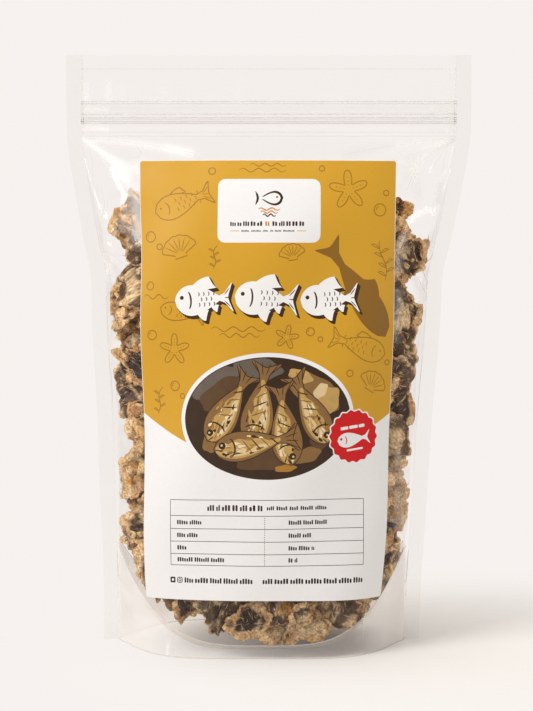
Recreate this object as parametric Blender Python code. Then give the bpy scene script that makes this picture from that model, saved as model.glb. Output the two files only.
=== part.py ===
"""A filled stand-up pouch of clear film with a zip, side seals and a folded-out foot, and the paper label on its front.

The pouch stands upright on its foot with the label towards -Y. The film and what it holds are one closed solid.
"""

import math

import bmesh
import bpy
import numpy as np

# Driving dimensions, in metres.
POUCH_WIDTH = 0.230
POUCH_HEIGHT = 0.335
SEAL_WIDTH = 0.0084
SEAL_THICKNESS = 0.0006
FOOT_LEAN = 0.0042
LEAN_STARTS = 0.290

# The pouch from its foot to its header. The film doesn't stretch, so the sides draw in where the front stands out.
# Each row: height, half width over the seals, depth of the front, flatness of the front, softness at the seals.
STATIONS = (
    (0.000, 0.0911, 0.0478, 5.0, 1.25),
    (0.030, 0.0916, 0.0490, 3.4, 0.95),
    (0.076, 0.0938, 0.0480, 2.4, 0.62),
    (0.127, 0.0961, 0.0445, 2.1, 0.52),
    (0.185, 0.0997, 0.0385, 2.0, 0.52),
    (0.208, 0.1003, 0.0350, 2.0, 0.56),
    (0.231, 0.1050, 0.0298, 2.0, 0.64),
    (0.256, 0.1097, 0.0222, 2.0, 0.80),
    (0.280, 0.1137, 0.0115, 2.0, 1.00),
    (0.294, 0.1150, 0.0026, 2.0, 1.00),
    (0.305, 0.1150, 0.0004, 2.0, 1.00),
    (POUCH_HEIGHT, 0.1150, 0.0000, 2.0, 1.00),
)

# Zip and header ribs. Each row: lower edge, upper edge, how far it stands out of the film.
RIB_SLOPE = 0.0006
RIBS = (
    (0.2908, 0.2922, 0.0003),
    (0.2966, 0.2978, 0.0005),
    (0.2988, 0.3018, 0.0009),
    (0.3064, 0.3086, 0.0006),
    (0.3268, 0.3278, 0.0003),
)

# Folds of the film that run down from the ends of the zip over the shoulders.
# Each row: start and end as (distance from the middle, height), half width, height of the fold.
SHOULDER_FOLDS = (
    ((0.106, 0.2860), (0.081, 0.2560), 0.0045, 0.0016),
    ((0.106, 0.2870), (0.052, 0.2820), 0.0040, 0.0010),
    ((0.106, 0.2780), (0.092, 0.2380), 0.0050, 0.0012),
)
# Dents beside the seals, where the sides draw in. Each row: distance from the middle, height, radius, depth.
SIDE_DENTS = (
    (0.088, 0.2180, 0.0110, 0.0028),
    (0.087, 0.1960, 0.0090, 0.0022),
    (0.083, 0.1180, 0.0120, 0.0012),
)
# Waves of the film where it lies against the uneven pieces.
WAVE_HEIGHT = 0.0009
WAVES = (
    (61.0, 17.0, 0.3),
    (-38.0, 52.0, 1.7),
    (97.0, -43.0, 4.1),
)
WAVES_START = 0.012
WAVES_END = 0.262

# The seam of the foot: a U on the front and on the back, above which the pouch is full.
SEAM_LOW = 0.0075
SEAM_RISE = 0.050
SEAM_POWER = 3.4
SEAM_STEP = 0.0007
SEAM_SLOPE = 0.0030

# The label.
LABEL_WIDTH = 0.1445
LABEL_BOTTOM = 0.0312
LABEL_TOP = 0.2748
LABEL_BOTTOM_DROP = 0.0022
LABEL_SHIFT = 0.0008
LABEL_THICKNESS = 0.00035
LABEL_GAP = 0.0004
CORNER_RADIUS = 0.0015

# How finely the solids are divided.
POINTS_ACROSS = 29
RING_STEP = 0.0068
LABEL_COLUMNS = 16
LABEL_ROWS = 26
SECTION_SAMPLES = 241

FILM_COLOUR = (0.62, 0.47, 0.32, 1.0)
LABEL_COLOUR = (0.78, 0.52, 0.11, 1.0)


def clear_scene():
    for old in list(bpy.data.objects):
        bpy.data.objects.remove(old, do_unlink=True)


def material(name, colour, roughness):
    made = bpy.data.materials.new(name)
    made.use_nodes = True
    shader = made.node_tree.nodes["Principled BSDF"]
    shader.inputs["Base Color"].default_value = colour
    shader.inputs["Roughness"].default_value = roughness
    shader.inputs["Metallic"].default_value = 0.0
    return made


def smooth(value):
    """0 below 0, 1 above 1, and an S-curve between."""
    value = np.clip(value, 0.0, 1.0)
    return value * value * (3.0 - 2.0 * value)


def station_value(column, height):
    """A column of STATIONS at a height, on a curve with no overshoot between its rows."""
    rows = np.array(STATIONS)
    z = rows[:, 0]
    v = rows[:, column]
    slopes = np.diff(v) / np.diff(z)
    tangents = np.zeros(len(z))
    inner = slopes[:-1] * slopes[1:] > 0.0
    means = 2.0 * slopes[:-1] * slopes[1:] / np.where(inner, slopes[:-1] + slopes[1:], 1.0)
    tangents[1:-1] = np.where(inner, means, 0.0)
    tangents[0] = slopes[0]
    i = int(np.clip(np.searchsorted(z, height) - 1, 0, len(z) - 2))
    span = z[i + 1] - z[i]
    t = (height - z[i]) / span
    stay = (1.0 + 2.0 * t) * (1.0 - t) ** 2
    go = t * t * (3.0 - 2.0 * t)
    bend = t * (1.0 - t) * ((1.0 - t) * tangents[i] - t * tangents[i + 1]) * span
    return float(stay * v[i] + go * v[i + 1] + bend)


def middle(height):
    """The X of the pouch's middle line: the foot stands a little to the left of the header."""
    return -FOOT_LEAN * max(0.0, 1.0 - height / LEAN_STARTS)


def seam_height(across):
    """The height of the foot's U seam at a distance across, from -1 to 1 between the side seals."""
    return SEAM_LOW + SEAM_RISE * np.abs(across) ** SEAM_POWER


def folds(x, height):
    """How far the film's folds stand out at a place on the front."""
    side = np.abs(x)
    out = np.zeros_like(x)
    for start, end, half_width, rise in SHOULDER_FOLDS:
        along = np.array(end) - np.array(start)
        length = math.hypot(along[0], along[1])
        along = along / length
        from_start = (side - start[0]) * along[0] + (height - start[1]) * along[1]
        off = (side - start[0]) * -along[1] + (height - start[1]) * along[0]
        fade = np.sin(math.pi * np.clip(from_start / length, 0.0, 1.0))
        out += rise * fade * np.exp(-((off / half_width) ** 2))
    for dent_x, dent_z, radius, depth in SIDE_DENTS:
        near = ((side - dent_x) ** 2 + (height - dent_z) ** 2) / radius**2
        out -= depth * np.exp(-near)
    return out


def waves(x, height, phase):
    fade = smooth(height / WAVES_START) * smooth((WAVES_END - height) / 0.04)
    out = np.zeros_like(x)
    for across, upward, turn in WAVES:
        out += np.sin(across * x + upward * height + turn + phase)
    return WAVE_HEIGHT * fade * out


def ribs(height):
    """How far the zip and the header's ribs stand out of the film at a height."""
    out = 0.0
    for low, high, rise in RIBS:
        edge = min(height - low, high - height)
        out = max(out, rise * float(smooth(edge / RIB_SLOPE + 1.0)))
    return out


def panel_depth(across, height, phase):
    """How far a panel stands out of the seals' plane, for places from -1 to 1 between the side seals."""
    half = station_value(1, height) - SEAL_WIDTH
    depth = station_value(2, height)
    flatness = station_value(3, height)
    softness = station_value(4, height)
    profile = (1.0 - np.minimum(np.abs(across), 1.0) ** flatness) ** softness
    at_seal = smooth((1.0 - np.abs(across)) / 0.12)
    full = smooth((height - seam_height(across)) / SEAM_SLOPE)
    relief = folds(across * half, height) + waves(across * half, height, phase)
    relief = relief - SEAM_STEP * (1.0 - full) * smooth(height / SEAM_LOW)
    out = depth * profile + (relief + ribs(height)) * at_seal
    return np.maximum(out, 0.0)


def ring_heights():
    """Level rings of the pouch: evenly spaced up the body, and at every edge of the ribs."""
    body = list(np.linspace(0.0, 0.286, 1 + round(0.286 / RING_STEP)))
    header = [POUCH_HEIGHT, 0.0, 0.3140, 0.3205, 0.3320]
    for low, high, _ in RIBS:
        header += [low - RIB_SLOPE, low, high, high + RIB_SLOPE]
    body += [0.0025, 0.0045]
    return sorted(set(round(float(z), 6) for z in body + header))


def across_points():
    """Places from -1 to 1 between the side seals, closer together beside them."""
    turn = np.linspace(-1.0, 1.0, POINTS_ACROSS)
    return np.sin(turn * math.pi / 2.0) * 0.45 + turn * 0.55


def add_mesh(name, bm, colour, roughness, smooth_angle):
    mesh = bpy.data.meshes.new(name)
    bmesh.ops.recalc_face_normals(bm, faces=bm.faces[:])
    bm.to_mesh(mesh)
    bm.free()
    mesh.shade_smooth()
    mesh.set_sharp_from_angle(angle=smooth_angle)
    mesh.materials.append(material(name, colour, roughness))
    made = bpy.data.objects.new(name, mesh)
    bpy.context.scene.collection.objects.link(made)
    return made


def pouch_ring(height):
    """One level outline of the pouch: the front from left to right, then the back from right to left."""
    half = station_value(1, height)
    x_middle = middle(height)
    across = across_points()
    x = x_middle + np.concatenate(([-half], across * (half - SEAL_WIDTH), [half]))
    front = np.concatenate(([0.0], panel_depth(across, height, 0.0), [0.0]))
    back = np.concatenate(([0.0], panel_depth(across, height, 2.4), [0.0]))
    film = SEAL_THICKNESS / 2.0
    outline = [(a, -film - b, height) for a, b in zip(x, front)]
    outline += [(a, film + b, height) for a, b in zip(x[::-1], back[::-1])]
    return outline


def cap(bm, ring):
    """Closes a level ring with strips from its front to its back."""
    count = len(ring)
    for i in range(count // 2 - 1):
        bm.faces.new((ring[i], ring[i + 1], ring[count - 2 - i], ring[count - 1 - i]))


def make_pouch():
    bm = bmesh.new()
    rings = [[bm.verts.new(point) for point in pouch_ring(z)] for z in ring_heights()]
    for lower, upper in zip(rings, rings[1:]):
        for i in range(len(lower)):
            j = (i + 1) % len(lower)
            bm.faces.new((lower[i], lower[j], upper[j], upper[i]))
    cap(bm, rings[0])
    cap(bm, rings[-1])
    return add_mesh("pouch", bm, FILM_COLOUR, 0.25, math.radians(40.0))


def label_point(along, height, out):
    """A point over the front film, at a distance measured along the film from the label's middle line."""
    half = station_value(1, height) - SEAL_WIDTH
    across = np.linspace(-1.0, 1.0, SECTION_SAMPLES)
    x = across * half
    y = -SEAL_THICKNESS / 2.0 - panel_depth(across, height, 0.0)
    lengths = np.concatenate(([0.0], np.cumsum(np.hypot(np.diff(x), np.diff(y)))))
    wanted = np.interp(LABEL_SHIFT, x, lengths) + along
    x_here = float(np.interp(wanted, lengths, x))
    y_here = float(np.interp(wanted, lengths, y))
    step = 0.002
    dx = np.interp(wanted + step, lengths, x) - np.interp(wanted - step, lengths, x)
    dy = np.interp(wanted + step, lengths, y) - np.interp(wanted - step, lengths, y)
    above = -panel_depth(np.array([x_here / half]), height + step, 0.0)[0]
    below = -panel_depth(np.array([x_here / half]), height - step, 0.0)[0]
    dz_slope = (above - below) / (2.0 * step)
    normal = np.array([dy / dx, -1.0, dz_slope])
    normal = normal / np.linalg.norm(normal)
    base = np.array([middle(height) + x_here, y_here, height])
    return tuple(base + normal * out)


def label_grid(out):
    """Points of one face of the label, in rows from the bottom to the top. The corners are cut round."""
    rows = []
    for j in range(LABEL_ROWS + 1):
        up = j / LABEL_ROWS
        row = []
        for i in range(LABEL_COLUMNS + 1):
            side = 2.0 * i / LABEL_COLUMNS - 1.0
            along = side * LABEL_WIDTH / 2.0
            drop = LABEL_BOTTOM_DROP * side * side * (1.0 - up)
            height = LABEL_BOTTOM + (LABEL_TOP - LABEL_BOTTOM) * up - drop
            if j in (0, LABEL_ROWS) and i in (0, LABEL_COLUMNS):
                inward = CORNER_RADIUS * (1.0 - math.sqrt(0.5))
                along -= math.copysign(inward, side)
                height += inward if j == 0 else -inward
            row.append(label_point(along, height, out))
        rows.append(row)
    return rows


def make_label():
    bm = bmesh.new()
    faces = []
    for out in (LABEL_GAP, LABEL_GAP + LABEL_THICKNESS):
        faces.append([[bm.verts.new(point) for point in row] for row in label_grid(out)])
    for grid in faces:
        for low, high in zip(grid, grid[1:]):
            for i in range(LABEL_COLUMNS):
                bm.faces.new((low[i], low[i + 1], high[i + 1], high[i]))
    inner, outer = (edge_loop(grid) for grid in faces)
    for i in range(len(inner)):
        j = (i + 1) % len(inner)
        bm.faces.new((inner[i], inner[j], outer[j], outer[i]))
    return add_mesh("label", bm, LABEL_COLOUR, 0.5, math.radians(40.0))


def edge_loop(grid):
    """The points round a grid's edge, in order."""
    loop = list(grid[0])
    loop += [row[-1] for row in grid[1:-1]]
    loop += list(reversed(grid[-1]))
    loop += [row[0] for row in reversed(grid[1:-1])]
    return loop


clear_scene()
make_pouch()
make_label()
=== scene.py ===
"""The looks of a clear stand-up pouch of dried stockfish: its film, zip, seals, fish and printed label.

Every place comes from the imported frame: the panels and the label's place are read from the CAD solids.
"""

import math

import bpy
import numpy as np
from mathutils import Matrix, Vector
from mathutils.bvhtree import BVHTree
from mathutils.geometry import delaunay_2d_cdt


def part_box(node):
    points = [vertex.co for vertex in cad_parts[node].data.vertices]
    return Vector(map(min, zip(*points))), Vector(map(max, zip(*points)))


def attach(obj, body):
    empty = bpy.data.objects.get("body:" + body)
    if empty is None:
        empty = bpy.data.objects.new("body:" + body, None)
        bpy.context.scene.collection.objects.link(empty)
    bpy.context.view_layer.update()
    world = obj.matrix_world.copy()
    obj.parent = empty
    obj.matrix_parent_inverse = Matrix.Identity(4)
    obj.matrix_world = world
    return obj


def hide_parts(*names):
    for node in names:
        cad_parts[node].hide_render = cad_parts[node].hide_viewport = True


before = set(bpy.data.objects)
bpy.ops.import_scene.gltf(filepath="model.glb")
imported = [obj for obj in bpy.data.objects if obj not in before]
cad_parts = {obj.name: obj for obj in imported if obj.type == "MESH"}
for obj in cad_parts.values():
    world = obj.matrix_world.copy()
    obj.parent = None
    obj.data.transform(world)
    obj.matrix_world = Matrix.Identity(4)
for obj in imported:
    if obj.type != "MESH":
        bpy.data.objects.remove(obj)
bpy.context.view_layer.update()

MM = 0.001
BODY = "root"

# ---------------------------------------------------------------- numbers and noise


def smooth(value):
    value = np.clip(value, 0.0, 1.0)
    return value * value * (3.0 - 2.0 * value)


SHUFFLE = np.tile(np.random.default_rng(7).permutation(256), 2)
GRADIENTS = np.random.default_rng(11).normal(size=(256, 3))
GRADIENTS /= np.linalg.norm(GRADIENTS, axis=1)[:, None]


def noise3(p):
    """Gradient noise of an (n, 3) array of places, from about -1 to 1."""
    cell = np.floor(p).astype(int)
    f = p - cell
    w = f * f * f * (f * (f * 6.0 - 15.0) + 10.0)
    total = np.zeros(len(p))
    for corner in np.ndindex(2, 2, 2):
        a, b, c = ((cell + corner) & 255).T
        slope = GRADIENTS[SHUFFLE[SHUFFLE[SHUFFLE[a] + b] + c]]
        total += np.abs(1 - np.array(corner) - w).prod(1) * (slope * (f - corner)).sum(1)
    return total * 1.6


def fractal(p, octaves, gain=0.5):
    return sum(gain**k * noise3(p * 2.0**k + 17.3 * k) for k in range(octaves))


def between(grid, row, column):
    """Values read between the points of a grid, at rows and columns with a fraction."""
    row = np.clip(row, 0.0, grid.shape[0] - 1.001)
    column = np.clip(column, 0.0, grid.shape[1] - 1.001)
    i = row.astype(int)
    j = column.astype(int)
    shape = (-1,) + (1,) * (grid.ndim - 2)
    a = (row - i).reshape(shape)
    b = (column - j).reshape(shape)
    low = grid[i, j] * (1 - b) + grid[i, j + 1] * b
    high = grid[i + 1, j] * (1 - b) + grid[i + 1, j + 1] * b
    return low * (1 - a) + high * a


def grid_faces(rows, columns, closed=False):
    """The four-sided faces of a grid of points, round to its first column again if closed."""
    row = np.arange(rows - 1)[:, None] * columns
    column = np.arange(columns if closed else columns - 1)
    beside = (column + 1) % columns
    corners = (row + column, row + beside, row + columns + beside, row + columns + column)
    return np.stack(corners, 2).reshape(-1, 4)


def grid_normals(points):
    """The normal at each point of a grid of points."""
    normals = np.cross(np.gradient(points, axis=1), np.gradient(points, axis=0))
    return normals / np.linalg.norm(normals, axis=2)[:, :, None]


def lengths_along(*steps):
    """The length of a line up to each of its points, from the steps between them in each direction."""
    return np.concatenate(([0.0], np.cumsum(np.hypot(*steps))))


# ---------------------------------------------------------------- the pouch, read from the frame

LABEL_LOW, LABEL_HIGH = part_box("label")
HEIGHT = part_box("pouch")[1].z
SEAL = 8.4 * MM
SEAL_HALF_THICKNESS = 0.3 * MM
COLUMNS = 161
ROWS = 241
SMOOTHING = 4.0 * MM

# The U-shaped seam of the foot, on the front and on the back.
SEAM_LOW = 7.5 * MM
SEAM_RISE = 50.0 * MM
SEAM_POWER = 3.4
SEAM_SHAPED_AT = 20.0 * MM


def blurred(grid, sigma, axis):
    """The grid smoothed along one axis by a Gaussian of sigma cells, with its ends held."""
    reach = int(math.ceil(3 * sigma))
    weights = np.exp(-0.5 * (np.arange(-reach, reach + 1) / sigma) ** 2)
    weights /= weights.sum()
    pads = [(0, 0), (0, 0)]
    pads[axis] = (reach, reach)
    padded = np.pad(grid, pads, mode="reflect", reflect_type="odd")
    return np.apply_along_axis(lambda line: np.convolve(line, weights, mode="valid"), axis, padded)


def read_pouch():
    """Half width, middle line and panel depths of the CAD pouch, on an even grid across and up."""
    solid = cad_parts["pouch"].data
    corners = [v.co.copy() for v in solid.vertices]
    tree = BVHTree.FromPolygons(corners, [list(p.vertices) for p in solid.polygons])
    heights = np.linspace(0.0, HEIGHT, ROWS)
    across = np.linspace(-1.0, 1.0, COLUMNS)
    inside = np.clip(heights, 0.2 * MM, HEIGHT - 0.2 * MM)
    right = np.array([tree.ray_cast(Vector((1, 0, z)), Vector((-1, 0, 0)))[0].x for z in inside])
    left = np.array([tree.ray_cast(Vector((-1, 0, z)), Vector((1, 0, 0)))[0].x for z in inside])
    half = (right - left) / 2.0 - SEAL
    middle = (right + left) / 2.0
    body = (1.0 - across**2 * 0.998) ** 0.6
    depths = []
    for side in (-1.0, 1.0):
        grid = np.zeros((ROWS, COLUMNS))
        for i, z in enumerate(inside):
            for j, u in enumerate(np.clip(across, -0.995, 0.995)):
                start = Vector((middle[i] + u * half[i], side, z))
                grid[i, j] = side * tree.ray_cast(start, Vector((0, -side, 0)))[0].y - SEAL_HALF_THICKNESS
        share = blurred(grid / body, SMOOTHING / (HEIGHT / (ROWS - 1)), 0)
        share = blurred(share, SMOOTHING / (half.mean() * 2.0 / (COLUMNS - 1)), 1)
        depth = np.maximum(share * body, 0.0)
        depth[:, (0, -1)] = 0.0
        depths.append(depth)
    return heights, across, half, middle, depths


HEIGHTS, ACROSS, HALF, MIDDLE, (FRONT, BACK) = read_pouch()


def half_at(z):
    return np.interp(z, HEIGHTS, HALF)


def middle_at(z):
    return np.interp(z, HEIGHTS, MIDDLE)


def on_panel(grid, x, z):
    """A panel's values over places across and heights, read between its grid's points."""
    u = (x - middle_at(z)) / half_at(z)
    return between(grid, z / HEIGHT * (ROWS - 1), (u + 1.0) / 2.0 * (COLUMNS - 1))


def seam_at(x):
    """The height of the foot's U seam over a place across."""
    u = np.clip(np.abs(x - middle_at(SEAM_SHAPED_AT)) / half_at(SEAM_SHAPED_AT), 0.0, 1.0)
    return SEAM_LOW + SEAM_RISE * u**SEAM_POWER


# ---------------------------------------------------------------- pieces


def mesh_object(name, points, faces, *materials):
    mesh = bpy.data.meshes.new(name)
    if isinstance(faces, np.ndarray):
        faces = faces.tolist()
    mesh.from_pydata(np.reshape(points, (-1, 3)).tolist(), [], faces)
    mesh.update()
    mesh.shade_smooth()
    for material in materials:
        mesh.materials.append(material)
    made = bpy.data.objects.new(name, mesh)
    bpy.context.scene.collection.objects.link(made)
    return made


def film_piece(name, points, faces, material, white=None):
    """A piece of the pouch's film; white says how much lit haze, painted light, each of its points gets, from
    0 to 1.
    """
    made = mesh_object(name, points, faces, material)
    if white is not None:
        painted_sheen_and_haze = made.data.attributes.new("painted_sheen_and_haze", "FLOAT", "POINT")
        painted_sheen_and_haze.data.foreach_set("value", white.ravel())
    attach(made, BODY)
    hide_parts("pouch")
    return made


# ---------------------------------------------------------------- materials


class Tree:
    """A node tree that is put together node by node."""

    def __init__(self, owner):
        owner.use_nodes = True
        self.tree = owner.node_tree
        self.tree.nodes.clear()

    def add(self, kind, sockets, **settings):
        """A node with its settings; each named socket gets a plain value, another node or a node's output."""
        node = self.tree.nodes.new("ShaderNode" + kind)
        for key, value in settings.items():
            setattr(node, key, value)
        for key, value in sockets.items():
            if isinstance(value, bpy.types.Node):
                value = next(output for output in value.outputs if output.enabled)
            if isinstance(value, bpy.types.NodeSocket):
                self.tree.links.new(value, node.inputs[key])
            else:
                node.inputs[key].default_value = value
        return node

    def read(self, kind, output, **settings):
        """One output of a node that has no inputs."""
        return self.add(kind, {}, **settings).outputs[output]

    def tones(self, colour, change, scale, detail):
        """A colour that is a little darker and lighter from place to place."""
        spots = {"Vector": self.read("TexCoord", "Object"), "Scale": scale, "Detail": detail}
        dark = [c * (1.0 - change) for c in colour]
        light = [min(1.0, c * (1.0 + change)) for c in colour]
        sockets = {"Factor": self.add("TexNoise", spots), "A": (*dark, 1.0), "B": (*light, 1.0)}
        return self.add("Mix", sockets, data_type="RGBA")


LIGHT_THROUGH = 0.99
CLEAR = (0.998, 0.997, 0.996)
VEIL = (0.93, 0.91, 0.895)
MIRROR_SHARE = 0.4
MOST_MIRROR = 0.12


def film_material(name, clear=CLEAR, haze=0.004, gloss=1.0, emboss=0.0, streaks=0.0, veil=VEIL):
    """Clear film that reflects more at a slant, and turns to a lit haze where its points carry painted light.
    """
    made = bpy.data.materials.new(name)
    tree = Tree(made)
    place = tree.read("TexCoord", "Object")
    height = tree.add("TexNoise", {"Vector": place, "Scale": 140.0, "Detail": 2.0})
    strength = 0.10
    if emboss:
        # The fine crossed lines that sealing jaws press into film.
        for turn in (math.radians(45), math.radians(-45)):
            slanted = tree.add("Mapping", {"Vector": place, "Rotation": (0.0, turn, 0.0)})
            waves = {"Vector": slanted, "Scale": 260.0, "Distortion": 0.0}
            lines = tree.add("TexWave", waves, bands_direction="X").outputs["Fac"]
            height = tree.add("Math", {0: lines, 1: emboss, 2: height}, operation="MULTIPLY_ADD")
        strength = 0.5
    if streaks:
        # Fine level ripples, as film gets where it is welded flat.
        flat = tree.add("Mapping", {"Vector": place, "Scale": (18.0, 18.0, 700.0)})
        ripples = tree.add("TexNoise", {"Vector": flat, "Scale": 1.0, "Detail": 2.0})
        height = tree.add("Math", {0: ripples, 1: streaks, 2: height}, operation="MULTIPLY_ADD")
        strength = 0.4
    bump = tree.add("Bump", {"Height": height, "Strength": strength, "Distance": 0.3 * MM})
    see = tree.add("BsdfTransparent", {"Color": (*clear, 1.0)})
    milky = tree.add("BsdfDiffuse", {"Color": (*veil, 1.0)})
    shine = tree.add("BsdfGlossy", {"Color": (1.0, 1.0, 1.0, 1.0), "Roughness": 0.06, "Normal": bump})
    slant = tree.add("Fresnel", {"IOR": 1.5, "Normal": bump})
    more = tree.add("Math", {0: slant, 1: MIRROR_SHARE * gloss}, operation="MULTIPLY")
    most = tree.add("Math", {0: more, 1: MOST_MIRROR}, operation="MINIMUM")
    # Painted highlights and painted light, read from each point and mixed in as lit haze.
    creased = tree.read("Attribute", "Fac", attribute_name="painted_sheen_and_haze")
    white = tree.add("Math", {0: creased, 1: haze}, operation="ADD", use_clamp=True)
    hazy = tree.add("MixShader", {0: white, 1: see, 2: milky})
    top = tree.add("MixShader", {0: most, 1: hazy, 2: shine})
    lit = tree.add("BsdfTransparent", {"Color": (LIGHT_THROUGH, LIGHT_THROUGH, LIGHT_THROUGH, 1.0)})
    last = tree.add("MixShader", {0: tree.read("LightPath", "Is Shadow Ray"), 1: top, 2: lit})
    tree.add("OutputMaterial", {0: last})
    return made


def ink_material(name, colour, change, grain):
    """Satin paper with a printed colour, slightly uneven as print is."""
    made = bpy.data.materials.new(name)
    tree = Tree(made)
    tone = tree.tones(colour, change, grain, 3.0)
    satin = {"Base Color": tone, "Roughness": 0.42, "Specular IOR Level": 0.35}
    tree.add("OutputMaterial", {0: tree.add("BsdfPrincipled", satin)})
    return made


# How much lighter than the palette the fish's surface is, and the palest that it gets.
GAIN = (1.90, 1.76, 1.63)
PALEST = (0.98, 0.74, 0.50)


def fish_material(name):
    """Dried fish: each point's colour, which holds painted light and shade as well as the fish's own tones,
    broken up by fine dry fibres that run along the piece.
    """
    made = bpy.data.materials.new(name)
    tree = Tree(made)
    grain = tree.read("Attribute", "Vector", attribute_name="grain")
    stretched = tree.add("Mapping", {"Vector": grain, "Scale": (1.0, 0.40, 1.0)})
    ridges = {"Vector": stretched, "Scale": 1.25, "Detail": 3.0, "Roughness": 0.6, "Distortion": 1.2}
    fibres = tree.add("TexNoise", ridges, noise_type="RIDGED_MULTIFRACTAL")
    specks = tree.add("TexNoise", {"Vector": grain, "Scale": 0.9, "Detail": 3.0})
    shares = []
    for value, ends in ((fibres, (0.2, 2.2, 0.36, 2.95)), (specks, (0.34, 0.60, 0.46, 1.15))):
        sockets = dict(zip(("From Min", "From Max", "To Min", "To Max"), ends))
        shares.append(tree.add("MapRange", {"Value": value, **sockets}))
    both = tree.add("Math", {0: shares[0], 1: shares[1]}, operation="MULTIPLY")
    colour = tree.read("Attribute", "Color", attribute_name="tone")
    tint = tree.add("Mix", {"Factor": 1.0, "A": colour, "B": both}, data_type="RGBA", blend_type="MULTIPLY")
    capped = {"Factor": 1.0, "A": tint, "B": (*PALEST, 1.0)}
    palest = tree.add("Mix", capped, data_type="RGBA", blend_type="DARKEN")
    bump = tree.add("Bump", {"Height": fibres, "Strength": 0.7, "Distance": 0.28 * MM})
    dry = {"Base Color": palest, "Roughness": 0.5, "Specular IOR Level": 0.3, "Normal": bump}
    tree.add("OutputMaterial", {0: tree.add("BsdfPrincipled", dry)})
    return made


# ---------------------------------------------------------------- studio

CAMERA_PLACE = (-0.0013, -0.900, 0.2149)
CAMERA_PITCH = math.radians(3.22)
CAMERA_LENS = 79.57
BACKDROP = (0.929, 0.885, 0.858)
ROOM_COLOUR = (1.0, 0.96, 0.915)
ROOM_LIGHT = 0.66
ROOM_IN_FILM = 0.20
FLOOR_COLOUR = (0.78, 0.755, 0.728)
# The glow begins and ends at these distances from a middle set right of the pouch, so that it lies under the
# pouch and to its left: painted light where its shadow falls.
FLOOR_NEAR = 0.03
FLOOR_FAR = 0.25
FLOOR_MIDDLE = (0.095, -0.005, 0.0)
WHITE = (1.0, 1.0, 1.0)
POUCH_MIDDLE = (0.0, 0.0, 0.15)
# Each row: name, place, what it points at, size, watts, colour, and whether it only shows in reflections.
LIGHTS = (
    ("key", (-0.70, -0.50, 1.1), POUCH_MIDDLE, (0.45, 0.45), 8.2, WHITE, False),
    ("top", (0.0, 0.15, 1.5), (0.0, 0.0, 0.0), (1.2, 1.2), 9.0, (1.0, 0.99, 0.98), False),
    ("left_shine", (-1.1, -0.55, 0.62), POUCH_MIDDLE, (0.10, 0.80), 2.4, WHITE, True),
    ("right_shine", (1.1, -0.60, 0.62), POUCH_MIDDLE, (0.10, 0.80), 1.4, WHITE, True),
)


def make_camera():
    data = bpy.data.cameras.new("camera")
    data.lens = CAMERA_LENS
    data.sensor_width = 36.0
    camera = bpy.data.objects.new("camera", data)
    camera.location = CAMERA_PLACE
    camera.rotation_euler = (math.pi / 2 - CAMERA_PITCH, 0.0, 0.0)
    bpy.context.scene.collection.objects.link(camera)
    bpy.context.scene.camera = camera


def make_world():
    """The backdrop that the camera sees, a dim room for soft light, and a dimmer one in reflections."""
    world = bpy.data.worlds.new("studio")
    bpy.context.scene.world = world
    tree = Tree(world)
    last = tree.add("Background", {"Color": (*ROOM_COLOUR, 1.0), "Strength": ROOM_LIGHT})
    for ray, colour, strength in (("Glossy", ROOM_COLOUR, ROOM_IN_FILM), ("Camera", BACKDROP, 1.0)):
        shader = tree.add("Background", {"Color": (*colour, 1.0), "Strength": strength})
        last = tree.add("MixShader", {0: tree.read("LightPath", f"Is {ray} Ray"), 1: last, 2: shader})
    tree.add("OutputWorld", {0: last})


def make_lights():
    for name, place, target, size, watts, colour, gloss_only in LIGHTS:
        data = bpy.data.lights.new(name, "AREA")
        data.shape = "RECTANGLE"
        data.size, data.size_y = size
        data.energy = watts
        data.color = colour
        light = bpy.data.objects.new(name, data)
        light.location = place
        light.rotation_euler = (Vector(target) - Vector(place)).to_track_quat("-Z", "Y").to_euler()
        light.visible_diffuse = not gloss_only
        bpy.context.scene.collection.objects.link(light)
    bpy.context.scene.view_settings.view_transform = "Standard"


def make_floor():
    """A pale floor that turns into the backdrop's even, glowing tone away from a middle set right of the
    pouch, so that no horizon shows; the glow also reaches under the pouch and to its left: painted light
    where its shadow falls.
    """
    made = bpy.data.materials.new("floor")
    tree = Tree(made)
    matt = tree.add("BsdfDiffuse", {"Color": tree.tones(FLOOR_COLOUR, 0.015, 60.0, 2.0)})
    even = tree.add("Emission", {"Color": (*BACKDROP, 1.0)})
    place = tree.read("TexCoord", "Object")
    away = tree.add("VectorMath", {0: place, 1: FLOOR_MIDDLE}, operation="DISTANCE")
    ends = {"Value": away, "From Min": FLOOR_NEAR, "From Max": FLOOR_FAR}
    share = tree.add("MapRange", ends, interpolation_type="SMOOTHSTEP")
    both = tree.add("Math", {0: share, 1: tree.read("LightPath", "Is Camera Ray")}, operation="MULTIPLY")
    tree.add("OutputMaterial", {0: tree.add("MixShader", {0: both, 1: matt, 2: even})})
    line = np.linspace(-30.0, 30.0, 13)
    points = [(x, y, 0.0) for y in line for x in line]
    mesh_object("floor", points, grid_faces(13, 13), made)


# ---------------------------------------------------------------- film

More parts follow.
